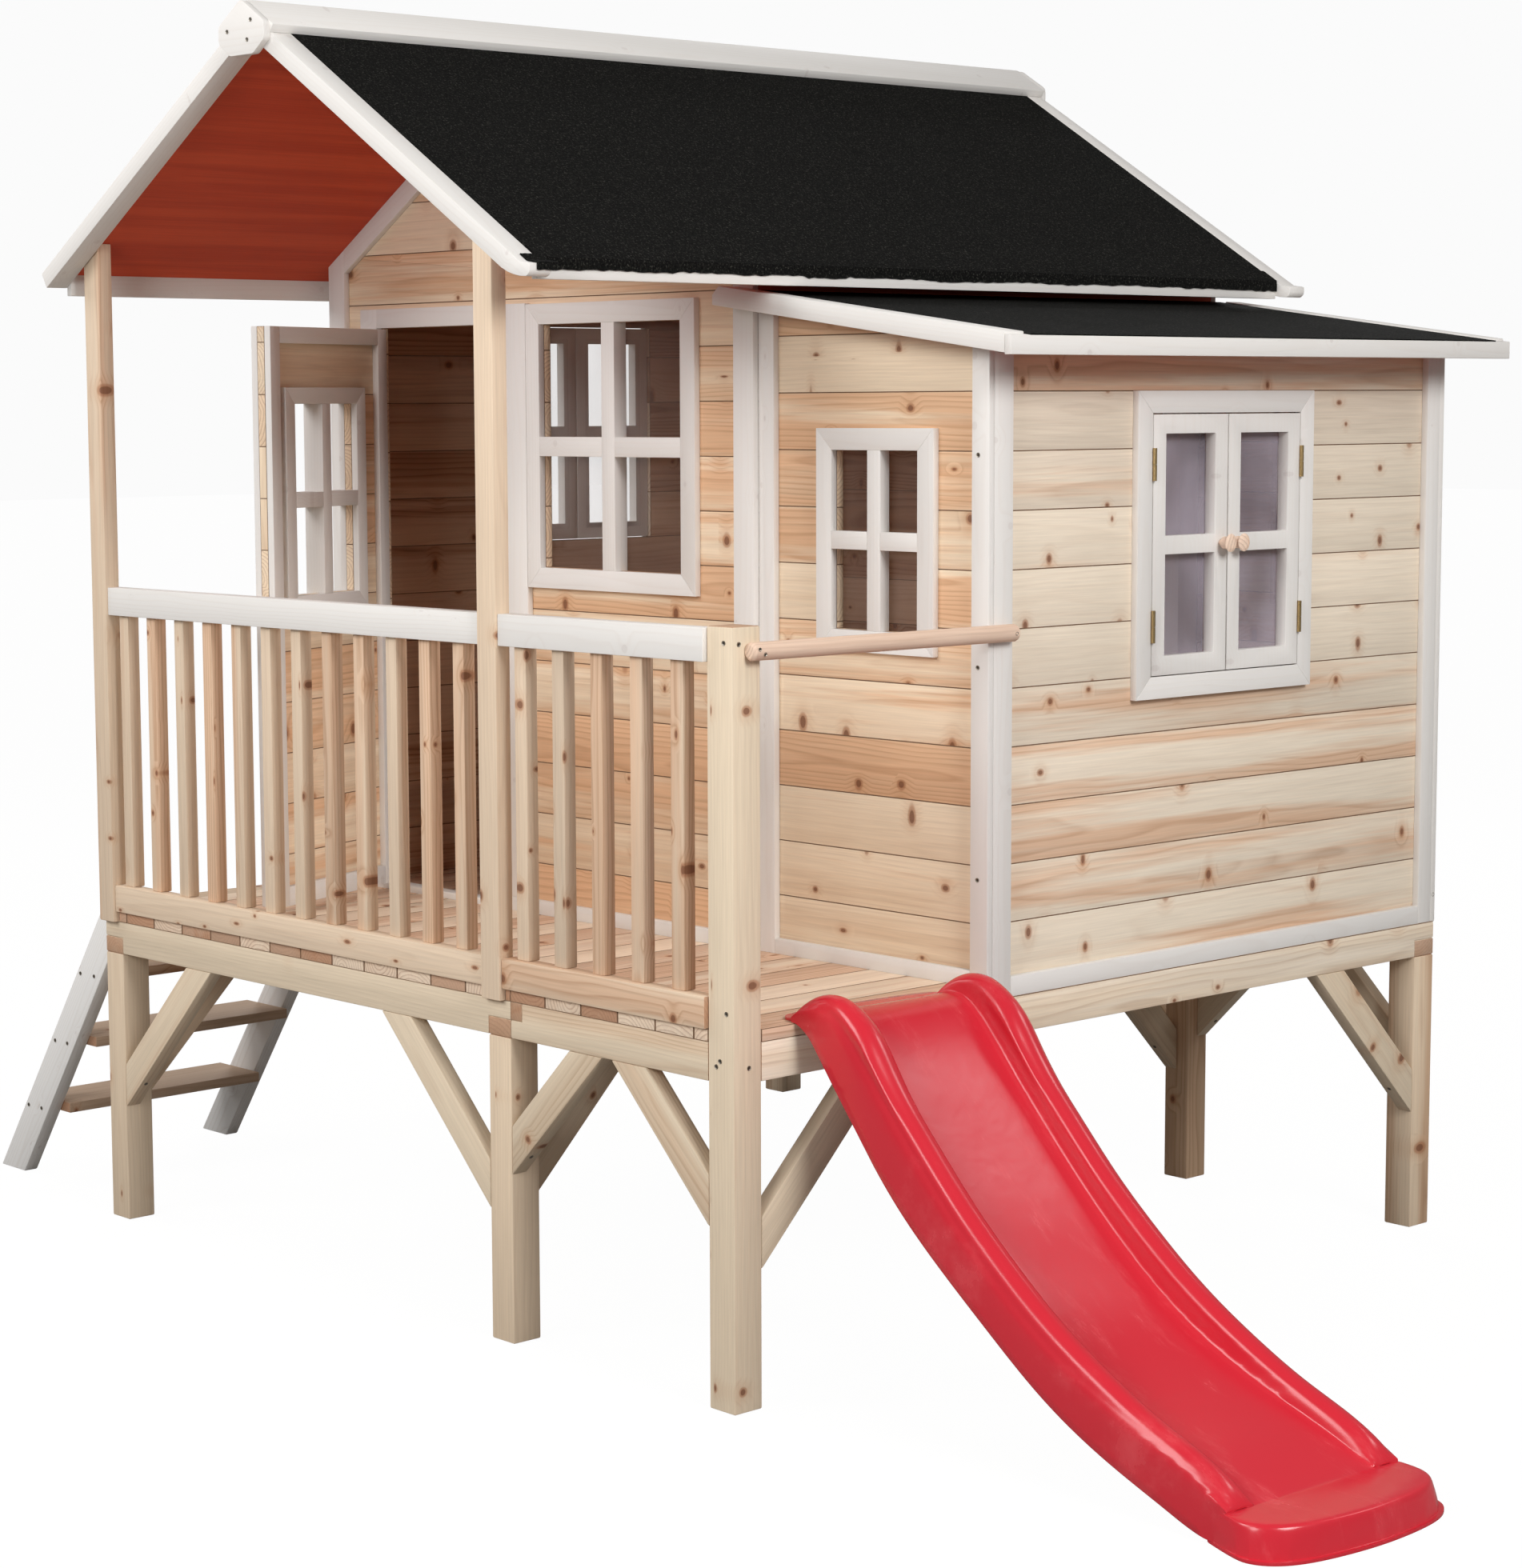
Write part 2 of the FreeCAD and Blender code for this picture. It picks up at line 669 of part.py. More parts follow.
# Mitred casing of four boards round a hole, lying in front of or behind the boards.
def mitred(a, b, c, d, wide, prism, p0, p1):
    outer = [(a - wide, c - wide), (b + wide, c - wide), (b + wide, d + wide), (a - wide, d + wide)]
    inner = [(a, c), (b, c), (b, d), (a, d)]
    made = []
    for i in range(4):
        j = (i + 1) % 4
        made.append(prism([outer[i], outer[j], inner[j], inner[i]], p0, p1))
    return made


def cross(a, b, c, d, bar, prism, p0, p1):
    mid = (a + b) / 2
    level = (c + d) / 2
    half = bar / 2
    made = [prism([(mid - half, c), (mid + half, c), (mid + half, d), (mid - half, d)], p0, p1)]
    for s, e in ((a, mid - half), (mid + half, b)):
        made.append(prism([(s, level - half), (e, level - half), (e, level + half),
                           (s, level + half)], p0, p1))
    return made


def pane_over(a, b, c, d, prism, p0, p1):
    lap = PANE_LAP
    return prism([(a - lap, c - lap), (b + lap, c - lap), (b + lap, d + lap), (a - lap, d + lap)],
                 p0, p1)


def make_windows():
    big = big_window()
    small = small_window()
    casings = mitred(*big, CASING, prism_y, front_wall, front_wall + TRIM)
    casings += mitred(*small, SMALL_CASING, prism_y, annex_wall, annex_wall + TRIM)
    casings += mitred(*small, SMALL_CASING, prism_y, back - TRIM, back)
    keep("window_casings", casings)
    y0 = front_wall
    y1 = y0 + TRIM + BOARD
    keep("window_bars", cross(*big, WINDOW_BAR, prism_y, y0, y1))
    for y in (annex_wall, back - SMALL_BAR_DEPTH):
        keep("window_bars", cross(*small, SMALL_BAR, prism_y, y, y + SMALL_BAR_DEPTH))
    panes = [pane_over(*big, prism_y, y1, y1 + PANE)]
    for y, way in ((annex_wall + TRIM + BOARD, 1), (back - TRIM - BOARD, -1)):
        ends = sorted((y, y + way * PANE))
        panes.append(pane_over(*small, prism_y, *ends))
    keep("window_panes", panes)
    shut = []
    for place, out in ((annex_casement, right), (side_casement, left + TRIM)):
        hole = casement_hole(*place)
        shut += mitred(*hole, CASING, prism_x, out - TRIM, out)
    keep("casement_casings", shut)


# The door's own opening: head and jamb casings in front, and the same behind.
def make_door_casing():
    a, b, _, d = door_hole()
    base = deck_top + BASE_TRIM
    front = front_wall
    made = []
    window_left = big_window()[0] - CASING
    top = d + DOOR_CASING_TOP
    wide = min(DOOR_CASING_RIGHT, window_left - b)
    made.append(box(a - DOOR_CASING_LEFT, a, front, front + TRIM, base, top))
    made.append(box(b, b + wide, front, front + TRIM, base, top))
    made.append(box(a, b, front, front + TRIM, d, top))
    keep("door_casing", made)


# Door leaf, drawn shut and turned open about its hinge pins.
def make_door():
    start, stop, _, top = door_hole()
    x0 = start + DOOR_SIDE_GAP
    x1 = stop - DOOR_FREE_GAP
    y0 = front_wall - DOOR_PROUD
    z0 = deck_top + THRESHOLD + DOOR_BOTTOM_GAP
    z1 = top - DOOR_TOP_GAP
    axis = V(start - DOOR_AXIS_SIDE, front_wall - DOOR_AXIS_FRONT, 0)
    front = y0 + TRIM
    behind = front + BOARD
    end = behind + TRIM
    wide = DOOR_WINDOW_CASING
    a = x0 + DOOR_WINDOW_RIGHT_INSET + wide
    b = x1 - DOOR_WINDOW_INSET - wide
    c = z0 + (z1 - z0) * DOOR_WINDOW_BOTTOM_SHARE + wide
    d = z0 + (z1 - z0) * DOOR_WINDOW_TOP_SHARE - wide
    seams = seams_between(z0, z1, BOARD_PITCH, BOARD_PITCH)
    leaf = courses("x", front, x0, x1, seams, [(a, b, c, d)], None)
    frames = []
    casings = []
    for p0, p1 in ((y0, front), (behind, end)):
        frames.append(box(x0, x0 + DOOR_FRAME, p0, p1, z0, z1))
        frames.append(box(x1 - DOOR_FRAME, x1, p0, p1, z0, z1))
        frames.append(box(x0 + DOOR_FRAME, x1 - DOOR_FRAME, p0, p1, z1 - DOOR_FRAME, z1))
        frames.append(box(x0 + DOOR_FRAME, x1 - DOOR_FRAME, p0, p1, z0, z0 + DOOR_BOTTOM_RAIL))
        casings += mitred(a, b, c, d, wide, prism_y, p0, p1)
    bars = cross(a, b, c, d, DOOR_WINDOW_BAR, prism_y, y0, end)
    turn(axis, DOOR_OPEN_ANGLE, "door_boards", leaf)
    turn(axis, DOOR_OPEN_ANGLE, "door_frame", frames)
    turn(axis, DOOR_OPEN_ANGLE, "door_window_casing", casings)
    turn(axis, DOOR_OPEN_ANGLE, "door_window_bars", bars)
    fixed = []
    moving = []
    for share in DOOR_HINGE_SHARES:
        z = z0 + (z1 - z0) * share - DOOR_HINGE_LENGTH / 2
        top = z + DOOR_HINGE_LENGTH
        plate = DOOR_HINGE_PLATE
        wall_leaf = box(axis.x - DOOR_HINGE_LEAF, axis.x, front_wall - plate, front_wall, z, top)
        wall_leaf = wall_leaf.fuse(box(axis.x - plate, axis.x, axis.y, front_wall, z, top))
        door_leaf = box(axis.x, x0 + DOOR_HINGE_LEAF, y0 - plate, y0, z, top)
        pair = hinge(axis, z, DOOR_HINGE_LENGTH, DOOR_KNUCKLE, DOOR_PIN, wall_leaf, door_leaf)
        fixed.append(pair[0])
        moving.append(pair[1])
    keep("door_hinge_pins", fixed)
    turn(axis, DOOR_OPEN_ANGLE, "door_hinge_leaves", moving)


def turn(axis, angle, name, shapes):
    for s in shapes:
        s.rotate(axis, V(0, 0, 1), -angle)
    keep(name, shapes)


# A lift-off hinge: the still half carries the pin and the lower knuckle.
def hinge(axis, z, length, radius, pin, still_leaf, moving_leaf):
    half = length / 2
    gap = KNUCKLE_GAP
    up = V(0, 0, 1)

    def barrel(start, tall, r):
        return Part.makeCylinder(r, tall, V(axis.x, axis.y, start), up)

    upper_room = barrel(z + half - gap, half + 2 * gap, radius + gap)
    lower_room = barrel(z - gap, half + gap, radius + gap)
    bore = barrel(z - OVERRUN, length + 2 * OVERRUN, pin + PIN_CLEARANCE)
    still = still_leaf.cut(upper_room)
    still = still.fuse([barrel(z, half - gap, radius), barrel(z, length, pin)])
    moving = moving_leaf.cut(lower_room).fuse(barrel(z + half, half, radius)).cut(bore)
    return still.removeSplitter(), moving.removeSplitter()


# A pair of glazed sashes in their casing, opening outwards on butt hinges.
def make_casement(prefix, centre, level, face, out):
    hole = casement_hole(centre, level)
    a, b, c, d = hole
    gap = CASEMENT_GAP
    leaf = (gap - SASH_LEAF_GAP) / 2
    half_gap = CASEMENT_MEETING_GAP / 2
    f0, f1 = sorted((face, face - out * SASH_THICK))
    g0, g1 = sorted((face - out * SASH_THICK, face - out * (SASH_THICK + PANE)))
    fixed = []
    for side, s0, s1 in (("left", a + gap, centre - half_gap), ("right", centre + half_gap, b - gap)):
        z0 = c + gap
        z1 = d - gap
        m = SASH_MEMBER
        inner = (s0 + m, s1 - m, z0 + m, z1 - m)
        frame = mitred(*inner, m, prism_x, f0, f1)
        frame = frame[0].fuse(frame[1:]).removeSplitter()
        middle = level
        bar = prism_x([(s0 + m, middle - SASH_BAR / 2), (s1 - m, middle - SASH_BAR / 2),
                       (s1 - m, middle + SASH_BAR / 2), (s0 + m, middle + SASH_BAR / 2)], f0, f1)
        name = prefix + "_" + side
        keep(name + "_sash", [frame.fuse(bar).removeSplitter()])
        keep(name + "_pane", [pane_over(*inner, prism_x, g0, g1)])
        stile = s1 - m / 2 if side == "left" else s0 + m / 2
        keep(name + "_knob", [knob(V(face, stile, middle), out)])
        edge = s0 if side == "left" else s1
        back_way = -1 if side == "left" else 1
        axis = V(face + out * SASH_KNUCKLE, edge + back_way * gap / 2, 0)
        moving = []
        for share in (SASH_HINGE_SHARE, 1 - SASH_HINGE_SHARE):
            z = z0 + (z1 - z0) * share - SASH_HINGE_LENGTH / 2
            x0, x1 = sorted((axis.x, face - out * SASH_HINGE_LEAF))
            y_in = sorted((edge, edge + back_way * leaf))
            y_out = sorted((edge + back_way * (gap - leaf), edge + back_way * gap))
            still_leaf = box(x0, x1, y_out[0], y_out[1], z, z + SASH_HINGE_LENGTH)
            door_leaf = box(x0, x1, y_in[0], y_in[1], z, z + SASH_HINGE_LENGTH)
            pair = hinge(axis, z, SASH_HINGE_LENGTH, SASH_KNUCKLE, SASH_PIN, still_leaf, door_leaf)
            fixed.append(pair[0])
            moving.append(pair[1])
        keep(name + "_hinges", moving)
    keep("casement_hinge_pins", fixed)


# A turned wooden knob on a short neck.
def knob(at, out):
    way = V(out, 0, 0)
    neck = Part.makeCylinder(KNOB_NECK / 2, KNOB_NECK_REACH, at, way)
    return neck.fuse(Part.makeCylinder(KNOB / 2, KNOB_REACH - KNOB_NECK_REACH,
                                       at + way * KNOB_NECK_REACH, way))


# Roof sheets on each slope with the felt on top.
def slope_outline(way, reach, bottom, thick):
    x = ridge_x + way * reach
    low = soffit_z(x) + bottom * lift
    peak = ridge_z + bottom * lift
    return [(ridge_x, peak), (x, low), (x, low + thick * lift), (ridge_x, peak + thick * lift)]


def make_main_roof():
    y0 = BARGE_THICK - BARGE_FRONT
    y1 = back + BACK_OVERHANG - BARGE_THICK
    right_reach = right_eave + BARGE_TAIL / 2 - EAVE_FASCIA
    spans = ((-1, left_eave - EAVE_FASCIA, LEFT_FASCIA_HEIGHT),
             (1, right_reach, RIGHT_FASCIA_HEIGHT))
    panels = [prism_y(slope_outline(w, r, 0, ROOF_PANEL), y0, y1) for w, r, _ in spans]
    keep("roof_panels", panels)
    fascias = []
    felts = []
    for way, reach, tall in spans:
        x0, x1 = sorted((ridge_x + way * reach, ridge_x + way * (reach + EAVE_FASCIA)))
        top = soffit_z(ridge_x + reach + EAVE_FASCIA) + ROOF_PANEL * lift
        fascias.append(box(x0, x1, y0, y1, top - tall, top))
        outline = slope_outline(way, reach + EAVE_FASCIA, ROOF_PANEL, felt_thick)
        felts.append(prism_y(outline, y0, y1))
    keep("eave_fascias", fascias)
    keep("roof_felt", felts)
    keep("barge_timbers", barges(y0, y1))


# Barge timbers frame the roof's ends; the right ones end in a shaped tail.
def barges(y0, y1):
    low = -BARGE_DROP * lift
    high = (BARGE - BARGE_DROP) * lift
    made = []
    x = ridge_x - left_eave
    run = BARGE * math.sin(math.radians(ROOF_ANGLE))
    rise = BARGE * math.cos(math.radians(ROOF_ANGLE))
    z = soffit_z(x) + low
    plain = [(x, z), (ridge_x, ridge_z + low), (ridge_x, ridge_z + high),
             (x - run, z + rise)]
    for s, e in ((y0 - BARGE_THICK, y0), (y1, y1 + BARGE_THICK)):
        made.append(prism_y(plain, s, e))
        made.append(tail_barge(s, e, low, high))
    return made


def tail_barge(s, e, low, high):
    x = ridge_x + right_eave
    z = soffit_z(x) + low
    tip = x + BARGE_TAIL
    shoulder = x + BARGE_TAIL * BARGE_SHOULDER_SHARE
    shoulder_z = soffit_z(shoulder) + high
    a = V(ridge_x, s, ridge_z + low)
    b = V(x, s, z)
    c = V(tip - BARGE_TAIL_TIP / 2, s, z - BARGE_TAIL_DROP)
    d = V(tip, s, z - BARGE_TAIL_DROP + BARGE_TAIL_TIP / 2)
    f = V(tip, s, z - BARGE_TAIL_DROP + BARGE_TAIL_TIP)
    g = V(shoulder, s, shoulder_z)
    h = V(ridge_x, s, ridge_z + high)
    bend = V((b.x + c.x) / 2, s, (b.z + c.z) / 2 - BARGE_TAIL_DROP * BARGE_BEND_SHARE)
    nose = BARGE_TAIL_TIP * BARGE_NOSE_SHARE
    turn_at = V(tip - nose, s, z - BARGE_TAIL_DROP + nose)
    edges = [Part.LineSegment(a, b).toShape(), Part.Arc(b, bend, c).toShape(),
             Part.Arc(c, turn_at, d).toShape(), Part.LineSegment(d, f).toShape(),
             Part.LineSegment(f, g).toShape(), Part.LineSegment(g, h).toShape(),
             Part.LineSegment(h, a).toShape()]
    return Part.Face(Part.Wire(edges)).extrude(V(0, e - s, 0))


# Two boards cap the ridge, closed at each end by a rounded pentagon plate.
def make_ridge():
    y0 = -BARGE_FRONT
    y1 = back + BACK_OVERHANG
    high = BARGE - BARGE_DROP
    reach = RIDGE_CAP / lift
    boards = []
    for way in (-1, 1):
        x = ridge_x + way * reach
        low = soffit_z(x) + high * lift
        peak = ridge_z + high * lift
        thick = RIDGE_CAP_THICK
        run = thick * math.sin(math.radians(ROOF_ANGLE))
        rise = thick * math.cos(math.radians(ROOF_ANGLE))
        outline = [(ridge_x, peak), (x, low), (x + way * run, low + rise),
                   (ridge_x, peak + thick * lift)]
        boards.append(prism_y(outline, y0, y1))
    keep("ridge_cap", boards)
    top = ridge_z + (high + RIDGE_CAP_THICK) * lift
    half = RIDGE_PLATE_HALF
    bottom = top - RIDGE_PLATE_BOTTOM
    outline = [(ridge_x, top), (ridge_x - half, top - half * fall), (ridge_x - half, bottom + half / 3),
               (ridge_x - half / 2, bottom), (ridge_x + half / 2, bottom),
               (ridge_x + half, bottom + half / 3), (ridge_x + half, top - half * fall)]
    plates = []
    for y in (y0 - RIDGE_PLATE_THICK, y1):
        plate = prism_y(outline, y, y + RIDGE_PLATE_THICK)
        upright = [e for e in plate.Edges if abs(e.tangentAt(e.FirstParameter).y) > UPRIGHT_SHARE]
        plates.append(plate.makeFillet(RIDGE_PLATE_FILLET, upright))
    keep("ridge_plates", plates)


# The lean-to roof over the annex: barge timbers, sheet, felt and a fascia.
def make_annex_roof():
    start = main_right - ANNEX_BARGE_START
    stop = right + ANNEX_OVERHANG
    y0 = annex_wall - ANNEX_FRONT_OVERHANG - ANNEX_STEP
    y1 = back + ANNEX_BACK_OVERHANG
    high = ANNEX_BARGE * annex_lift
    chamfer = ANNEX_BARGE_CHAMFER
    outline = [(start, annex_barge_z(start)), (stop, annex_barge_z(stop)),
               (stop, annex_barge_z(stop) + high),
               (start + chamfer, annex_barge_z(start + chamfer) + high),
               (start, annex_barge_z(start) + high - chamfer)]
    inner = y0 + BARGE_THICK
    outer = y1 - BARGE_THICK
    rear_outline = [(main_right + TRIM, annex_barge_z(main_right + TRIM))] + outline[1:3]
    rear_outline.append((main_right + TRIM, annex_barge_z(main_right + TRIM) + high))
    keep("barge_timbers", [prism_y(outline, y0, inner), prism_y(rear_outline, outer, y1)])
    low = annex_soffit_z(main_right)
    end = annex_soffit_z(stop)
    thick = ROOF_PANEL * annex_lift
    sheet = [(main_right, low), (stop, end), (stop, end + thick), (main_right, low + thick)]
    keep("roof_panels", [prism_y(sheet, inner, outer)])
    over = stop + EAVE_FASCIA
    top = felt_thick * annex_lift
    z0 = annex_soffit_z(over) + thick
    felt = [(main_right, low + thick), (over, z0), (over, z0 + top), (main_right, low + thick + top)]
    keep("roof_felt", [prism_y(felt, inner, outer)])
    fascia = [(stop, z0 - ANNEX_FASCIA_HEIGHT), (over, z0 - ANNEX_FASCIA_HEIGHT), (over, z0),
              (stop, annex_soffit_z(stop) + thick)]
    keep("eave_fascias", [prism_y(fascia, y0, y1)])


# Slide: a moulded channel lofted through upright cross-sections along its run.
# Each row gives the run, the bed's height, the rail above it and the skirt below it.
SLIDE_SHARES = (
    (0.000, 1.013, 0.09, 0.07),
    (0.014, 1.024, 0.24, 0.15),
    (0.040, 1.032, 0.34, 0.38),
    (0.071, 1.020, 0.47, 0.78),
    (0.103, 0.970, 0.72, 0.92),
    (0.149, 0.875, 0.98, 0.95),
    (0.198, 0.776, 0.80, 1.00),
    (0.273, 0.633, 0.74, 0.92),
    (0.347, 0.501, 0.71, 0.75),
    (0.427, 0.376, 0.71, 0.63),
    (0.526, 0.250, 0.66, 0.62),
    (0.635, 0.155, 0.54, 0.67),
    (0.734, 0.092, 0.41, 0.71),
    (0.838, 0.028, 0.34, 0.78),
    (0.863, 0.010, 0.26, 0.80),
    (0.881, 0.002, 0.06, 0.80),
)


def arc_points(start, middle, end, count):
    arc = Part.Arc(V(0, *start), V(0, *middle), V(0, *end)).toShape()
    return [(p.y, p.z) for p in arc.discretize(count)]


# Half of one cross-section as (across, up) points, from the bed's edge to the skirt's foot.
def slide_half(bed, rail, low):
    flank = SLIDE_BED_HALF + SLIDE_FLANK
    side = SLIDE_HALF - SLIDE_LEDGE
    ledge = bed + rail * SLIDE_LEDGE_SHARE
    shoulder = bed + rail * SLIDE_SHOULDER_SHARE
    cove = (SLIDE_BED_HALF + SLIDE_FLANK * SLIDE_COVE_SHARE, bed + rail * SLIDE_COVE_RISE_SHARE)
    crown = ((flank + side) / 2, bed + rail)
    points = [(SLIDE_BED_HALF, bed), cove]
    points += arc_points((flank, shoulder), crown, (side, shoulder), SLIDE_CROWN_POINTS)
    return points + [(SLIDE_HALF, ledge), (SLIDE_HALF, low)]


# The same half as seen from below, one wall thickness inside.
def slide_half_under(bed, rail, low):
    t = SLIDE_WALL
    flank = SLIDE_BED_HALF + SLIDE_FLANK + t
    side = SLIDE_HALF - SLIDE_LEDGE - t
    ledge = bed + rail * SLIDE_LEDGE_SHARE
    shoulder = bed + rail * SLIDE_SHOULDER_SHARE
    cove = (SLIDE_BED_HALF + SLIDE_FLANK * SLIDE_COVE_SHARE + t / 2,
            bed + rail * SLIDE_COVE_RISE_SHARE - t)
    crown = ((flank + side) / 2, bed + rail - t)
    points = [(SLIDE_BED_HALF, bed - t), cove]
    points += arc_points((flank, shoulder - t), crown, (side, shoulder - t), SLIDE_UNDER_POINTS)
    return points + [(SLIDE_HALF - t, ledge - t), (SLIDE_HALF - t, low)]


def slide_section(u, bed, rail, low):
    over = slide_half(bed, rail, low)
    under = slide_half_under(bed, rail, low)
    ring = over + under[::-1]
    ring += [(-y, z) for y, z in under]
    ring += [(-y, z) for y, z in over[::-1]]
    return [V(u, y, z) for y, z in ring]


# A closed skin of flat panels stretched over rings of equally many points.
def skin(rings):
    panels = [face_of(rings[0]), face_of(rings[-1])]
    for one, two in zip(rings, rings[1:]):
        for i in range(len(one)):
            panels.append(face_of([one[i - 1], one[i], two[i]]))
            panels.append(face_of([one[i - 1], two[i], two[i - 1]]))
    return Part.makeSolid(Part.makeShell(panels)).removeSplitter()


# The measured rows joined by smooth curves and read off at even steps.
def slide_rows():
    runs = [row[0] for row in SLIDE_SHARES]
    upper = Part.BSplineCurve()
    upper.interpolate(Points=[V(*row[:3]) for row in SLIDE_SHARES], Parameters=runs)
    lower = Part.BSplineCurve()
    lower.interpolate(Points=[V(row[0], row[3], 0) for row in SLIDE_SHARES], Parameters=runs)
    rows = []
    for first, last in zip(runs, runs[1:]):
        steps = max(1, math.ceil((last - first) / SLIDE_STEP_SHARE))
        for i in range(steps):
            t = first + (last - first) * i / steps
            p = upper.value(t)
            rows.append((p.x, p.y, p.z, lower.value(t).y))
    return rows + [SLIDE_SHARES[-1]]


# The run-out lip: a hollow rounded tray with a thin foot flange on the ground.
def slide_lip():
    t = SLIDE_WALL
    start = SLIDE_LENGTH - SLIDE_LIP
    root = SLIDE_HALF - t

    def outline(inset, z):
        side = SLIDE_LIP_HALF - inset
        nose = SLIDE_LENGTH - inset
        curve = [(nose - SLIDE_LIP * p, side * q) for p, q in SLIDE_LIP_SHARES]
        ring = [(start, root)] + curve
        ring += [(x, -y) for x, y in curve[::-1] if y > 0] + [(start, -root)]
        return [V(x, y, z) for x, y in ring]

    top = SLIDE_LIP_HEIGHT
    rim = face_of(outline(0, 0)).extrude(V(0, 0, t))
    levels = [(t, 0), (SLIDE_LIP_TAPER, top - SLIDE_LIP_FILLET),
              (SLIDE_LIP_TAPER + SLIDE_LIP_FILLET / 3, top - SLIDE_LIP_FILLET / 3),
              (SLIDE_LIP_TAPER + SLIDE_LIP_FILLET, top)]
    outer = skin([outline(*level) for level in levels])
    core = skin([outline(t + t, 0), outline(SLIDE_LIP_TAPER + t, top - t)])
    opening = box(start - t, start + t, t + t - root, root - t - t, 0, top - t)
    return outer.fuse(rim).cut(core).cut(opening)


def slide_flange():
    t = SLIDE_FLANGE_THICK
    f = SLIDE_FLANGE
    half = SLIDE_FLANGE_HALF
    outline = [(SLIDE_WALL, half), (-f / 2, half), (-f, half - f / 2), (-f, f / 2 - half),
               (-f / 2, -half), (SLIDE_WALL, -half)]
    return prism_z(outline, deck_top, deck_top + t)


def make_slide():
    drop = deck_top - SLIDE_LIP_HEIGHT
    rings = []
    for run, bed, rail, skirt in slide_rows():
        z = SLIDE_LIP_HEIGHT + drop * bed
        low = max(SLIDE_WALL, z - SLIDE_SKIRT * skirt)
        rings.append(slide_section(SLIDE_LENGTH * run, z, SLIDE_RAIL * rail, low))
    whole = skin(rings).fuse([slide_lip(), slide_flange()]).removeSplitter()
    whole.translate(V(right + SLIDE_EDGE_GAP, slide_y, 0))
    whole.rotate(V(right + SLIDE_EDGE_GAP, slide_y, 0), V(0, 0, 1), SLIDE_SKEW)
    keep("slide", whole.Solids)


def finish():
    os.makedirs("parts", exist_ok=True)
    made = {name: Part.makeCompound(shapes) for name, shapes in nodes.items()}
    whole = Part.makeCompound(list(made.values())).BoundBox
    move = V(-(whole.XMin + whole.XMax) / 2, -(whole.YMin + whole.YMax) / 2, -whole.ZMin)
    print("origin moved by", move)
    for name, shape in made.items():
        shape.translate(move)
        shape.exportStep("parts/" + name + ".step")


make_legs()
make_beams()
make_braces()
make_deck()
make_porch_posts()
make_rails()
make_grab_bar()
make_ladder()
make_walls()
make_trims()
make_partition_posts()
make_windows()
make_door_casing()
make_door()
make_casement("annex", *annex_casement, right, 1)
make_casement("side", *side_casement, left, -1)
make_main_roof()
make_ridge()
make_annex_roof()
make_slide()
finish()
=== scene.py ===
import math
import bpy
import numpy as np
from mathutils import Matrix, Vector


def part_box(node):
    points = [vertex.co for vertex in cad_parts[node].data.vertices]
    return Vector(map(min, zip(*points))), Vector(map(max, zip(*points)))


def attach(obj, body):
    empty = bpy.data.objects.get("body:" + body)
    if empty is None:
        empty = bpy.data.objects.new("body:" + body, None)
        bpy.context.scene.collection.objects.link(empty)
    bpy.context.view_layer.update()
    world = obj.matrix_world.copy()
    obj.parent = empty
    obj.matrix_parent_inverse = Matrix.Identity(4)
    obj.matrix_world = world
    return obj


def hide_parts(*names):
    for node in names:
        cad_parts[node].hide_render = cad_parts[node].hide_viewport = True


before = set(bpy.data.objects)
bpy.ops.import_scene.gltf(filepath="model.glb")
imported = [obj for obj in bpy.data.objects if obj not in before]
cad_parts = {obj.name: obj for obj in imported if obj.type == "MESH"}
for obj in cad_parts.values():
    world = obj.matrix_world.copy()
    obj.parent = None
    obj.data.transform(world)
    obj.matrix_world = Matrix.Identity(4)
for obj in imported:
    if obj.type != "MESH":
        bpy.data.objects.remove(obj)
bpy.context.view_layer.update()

BODY = "house"


# The view: a long lens at a child's eye height off the front right corner,
# with the frame shifted sideways as the picture was cropped.
def placed(name, data):
    thing = bpy.data.objects.new(name, data)
    bpy.context.scene.collection.objects.link(thing)
    return thing


eye = bpy.data.cameras.new("eye")
eye.sensor_fit = "HORIZONTAL"
eye.sensor_width = 36.0
eye.lens = 78.784
eye.shift_x = 0.05676
eye.shift_y = -0.00104
eye.clip_end = 200.0
camera = placed("camera", eye)
camera.location = (4.2165021, -4.2281, 1.520)
camera.rotation_euler = (math.radians(83.54337), math.radians(0.31939), math.radians(48.15223))
bpy.context.scene.camera = camera
bpy.context.scene.view_settings.view_transform = "Standard"


# The studio: a white sweep of floor, pale air and seven soft lamps. The floor
# shows near white to the eye and keeps a faint shadow under the playhouse.
def lamp(name, place, aim, size, power):
    light = bpy.data.lights.new(name, "AREA")
    light.shape = "DISK"
    light.size = size
    light.energy = power
    holder = placed(name, light)
    holder.location = place
    holder.rotation_euler = (Vector(aim) - Vector(place)).to_track_quat("-Z", "Y").to_euler()


lamp("key_lamp", (5.7, -1.2, 4.1), (0.2, 0.0, 1.0), 2.6, 248.0)
lamp("front_lamp", (-1.2, -5.4, 4.2), (-0.2, 0.0, 1.1), 2.6, 128.0)
lamp("near_lamp", (1.4, -5.5, 2.9), (0.0, 0.0, 1.2), 2.2, 98.0)
lamp("left_lamp", (-4.2, -2.2, 3.4), (0.2, -0.6, 0.8), 2.4, 54.0)
lamp("back_lamp", (-4.6, 4.4, 4.0), (-0.2, 0.2, 1.0), 2.8, 125.0)
lamp("rear_lamp", (2.9, 3.5, 4.3), (0.9, -0.6, 0.4), 1.1, 20.0)
lamp("glint_lamp", (1.5, 3.8, 4.3), (0.9, -0.6, 0.4), 0.4, 3.0)

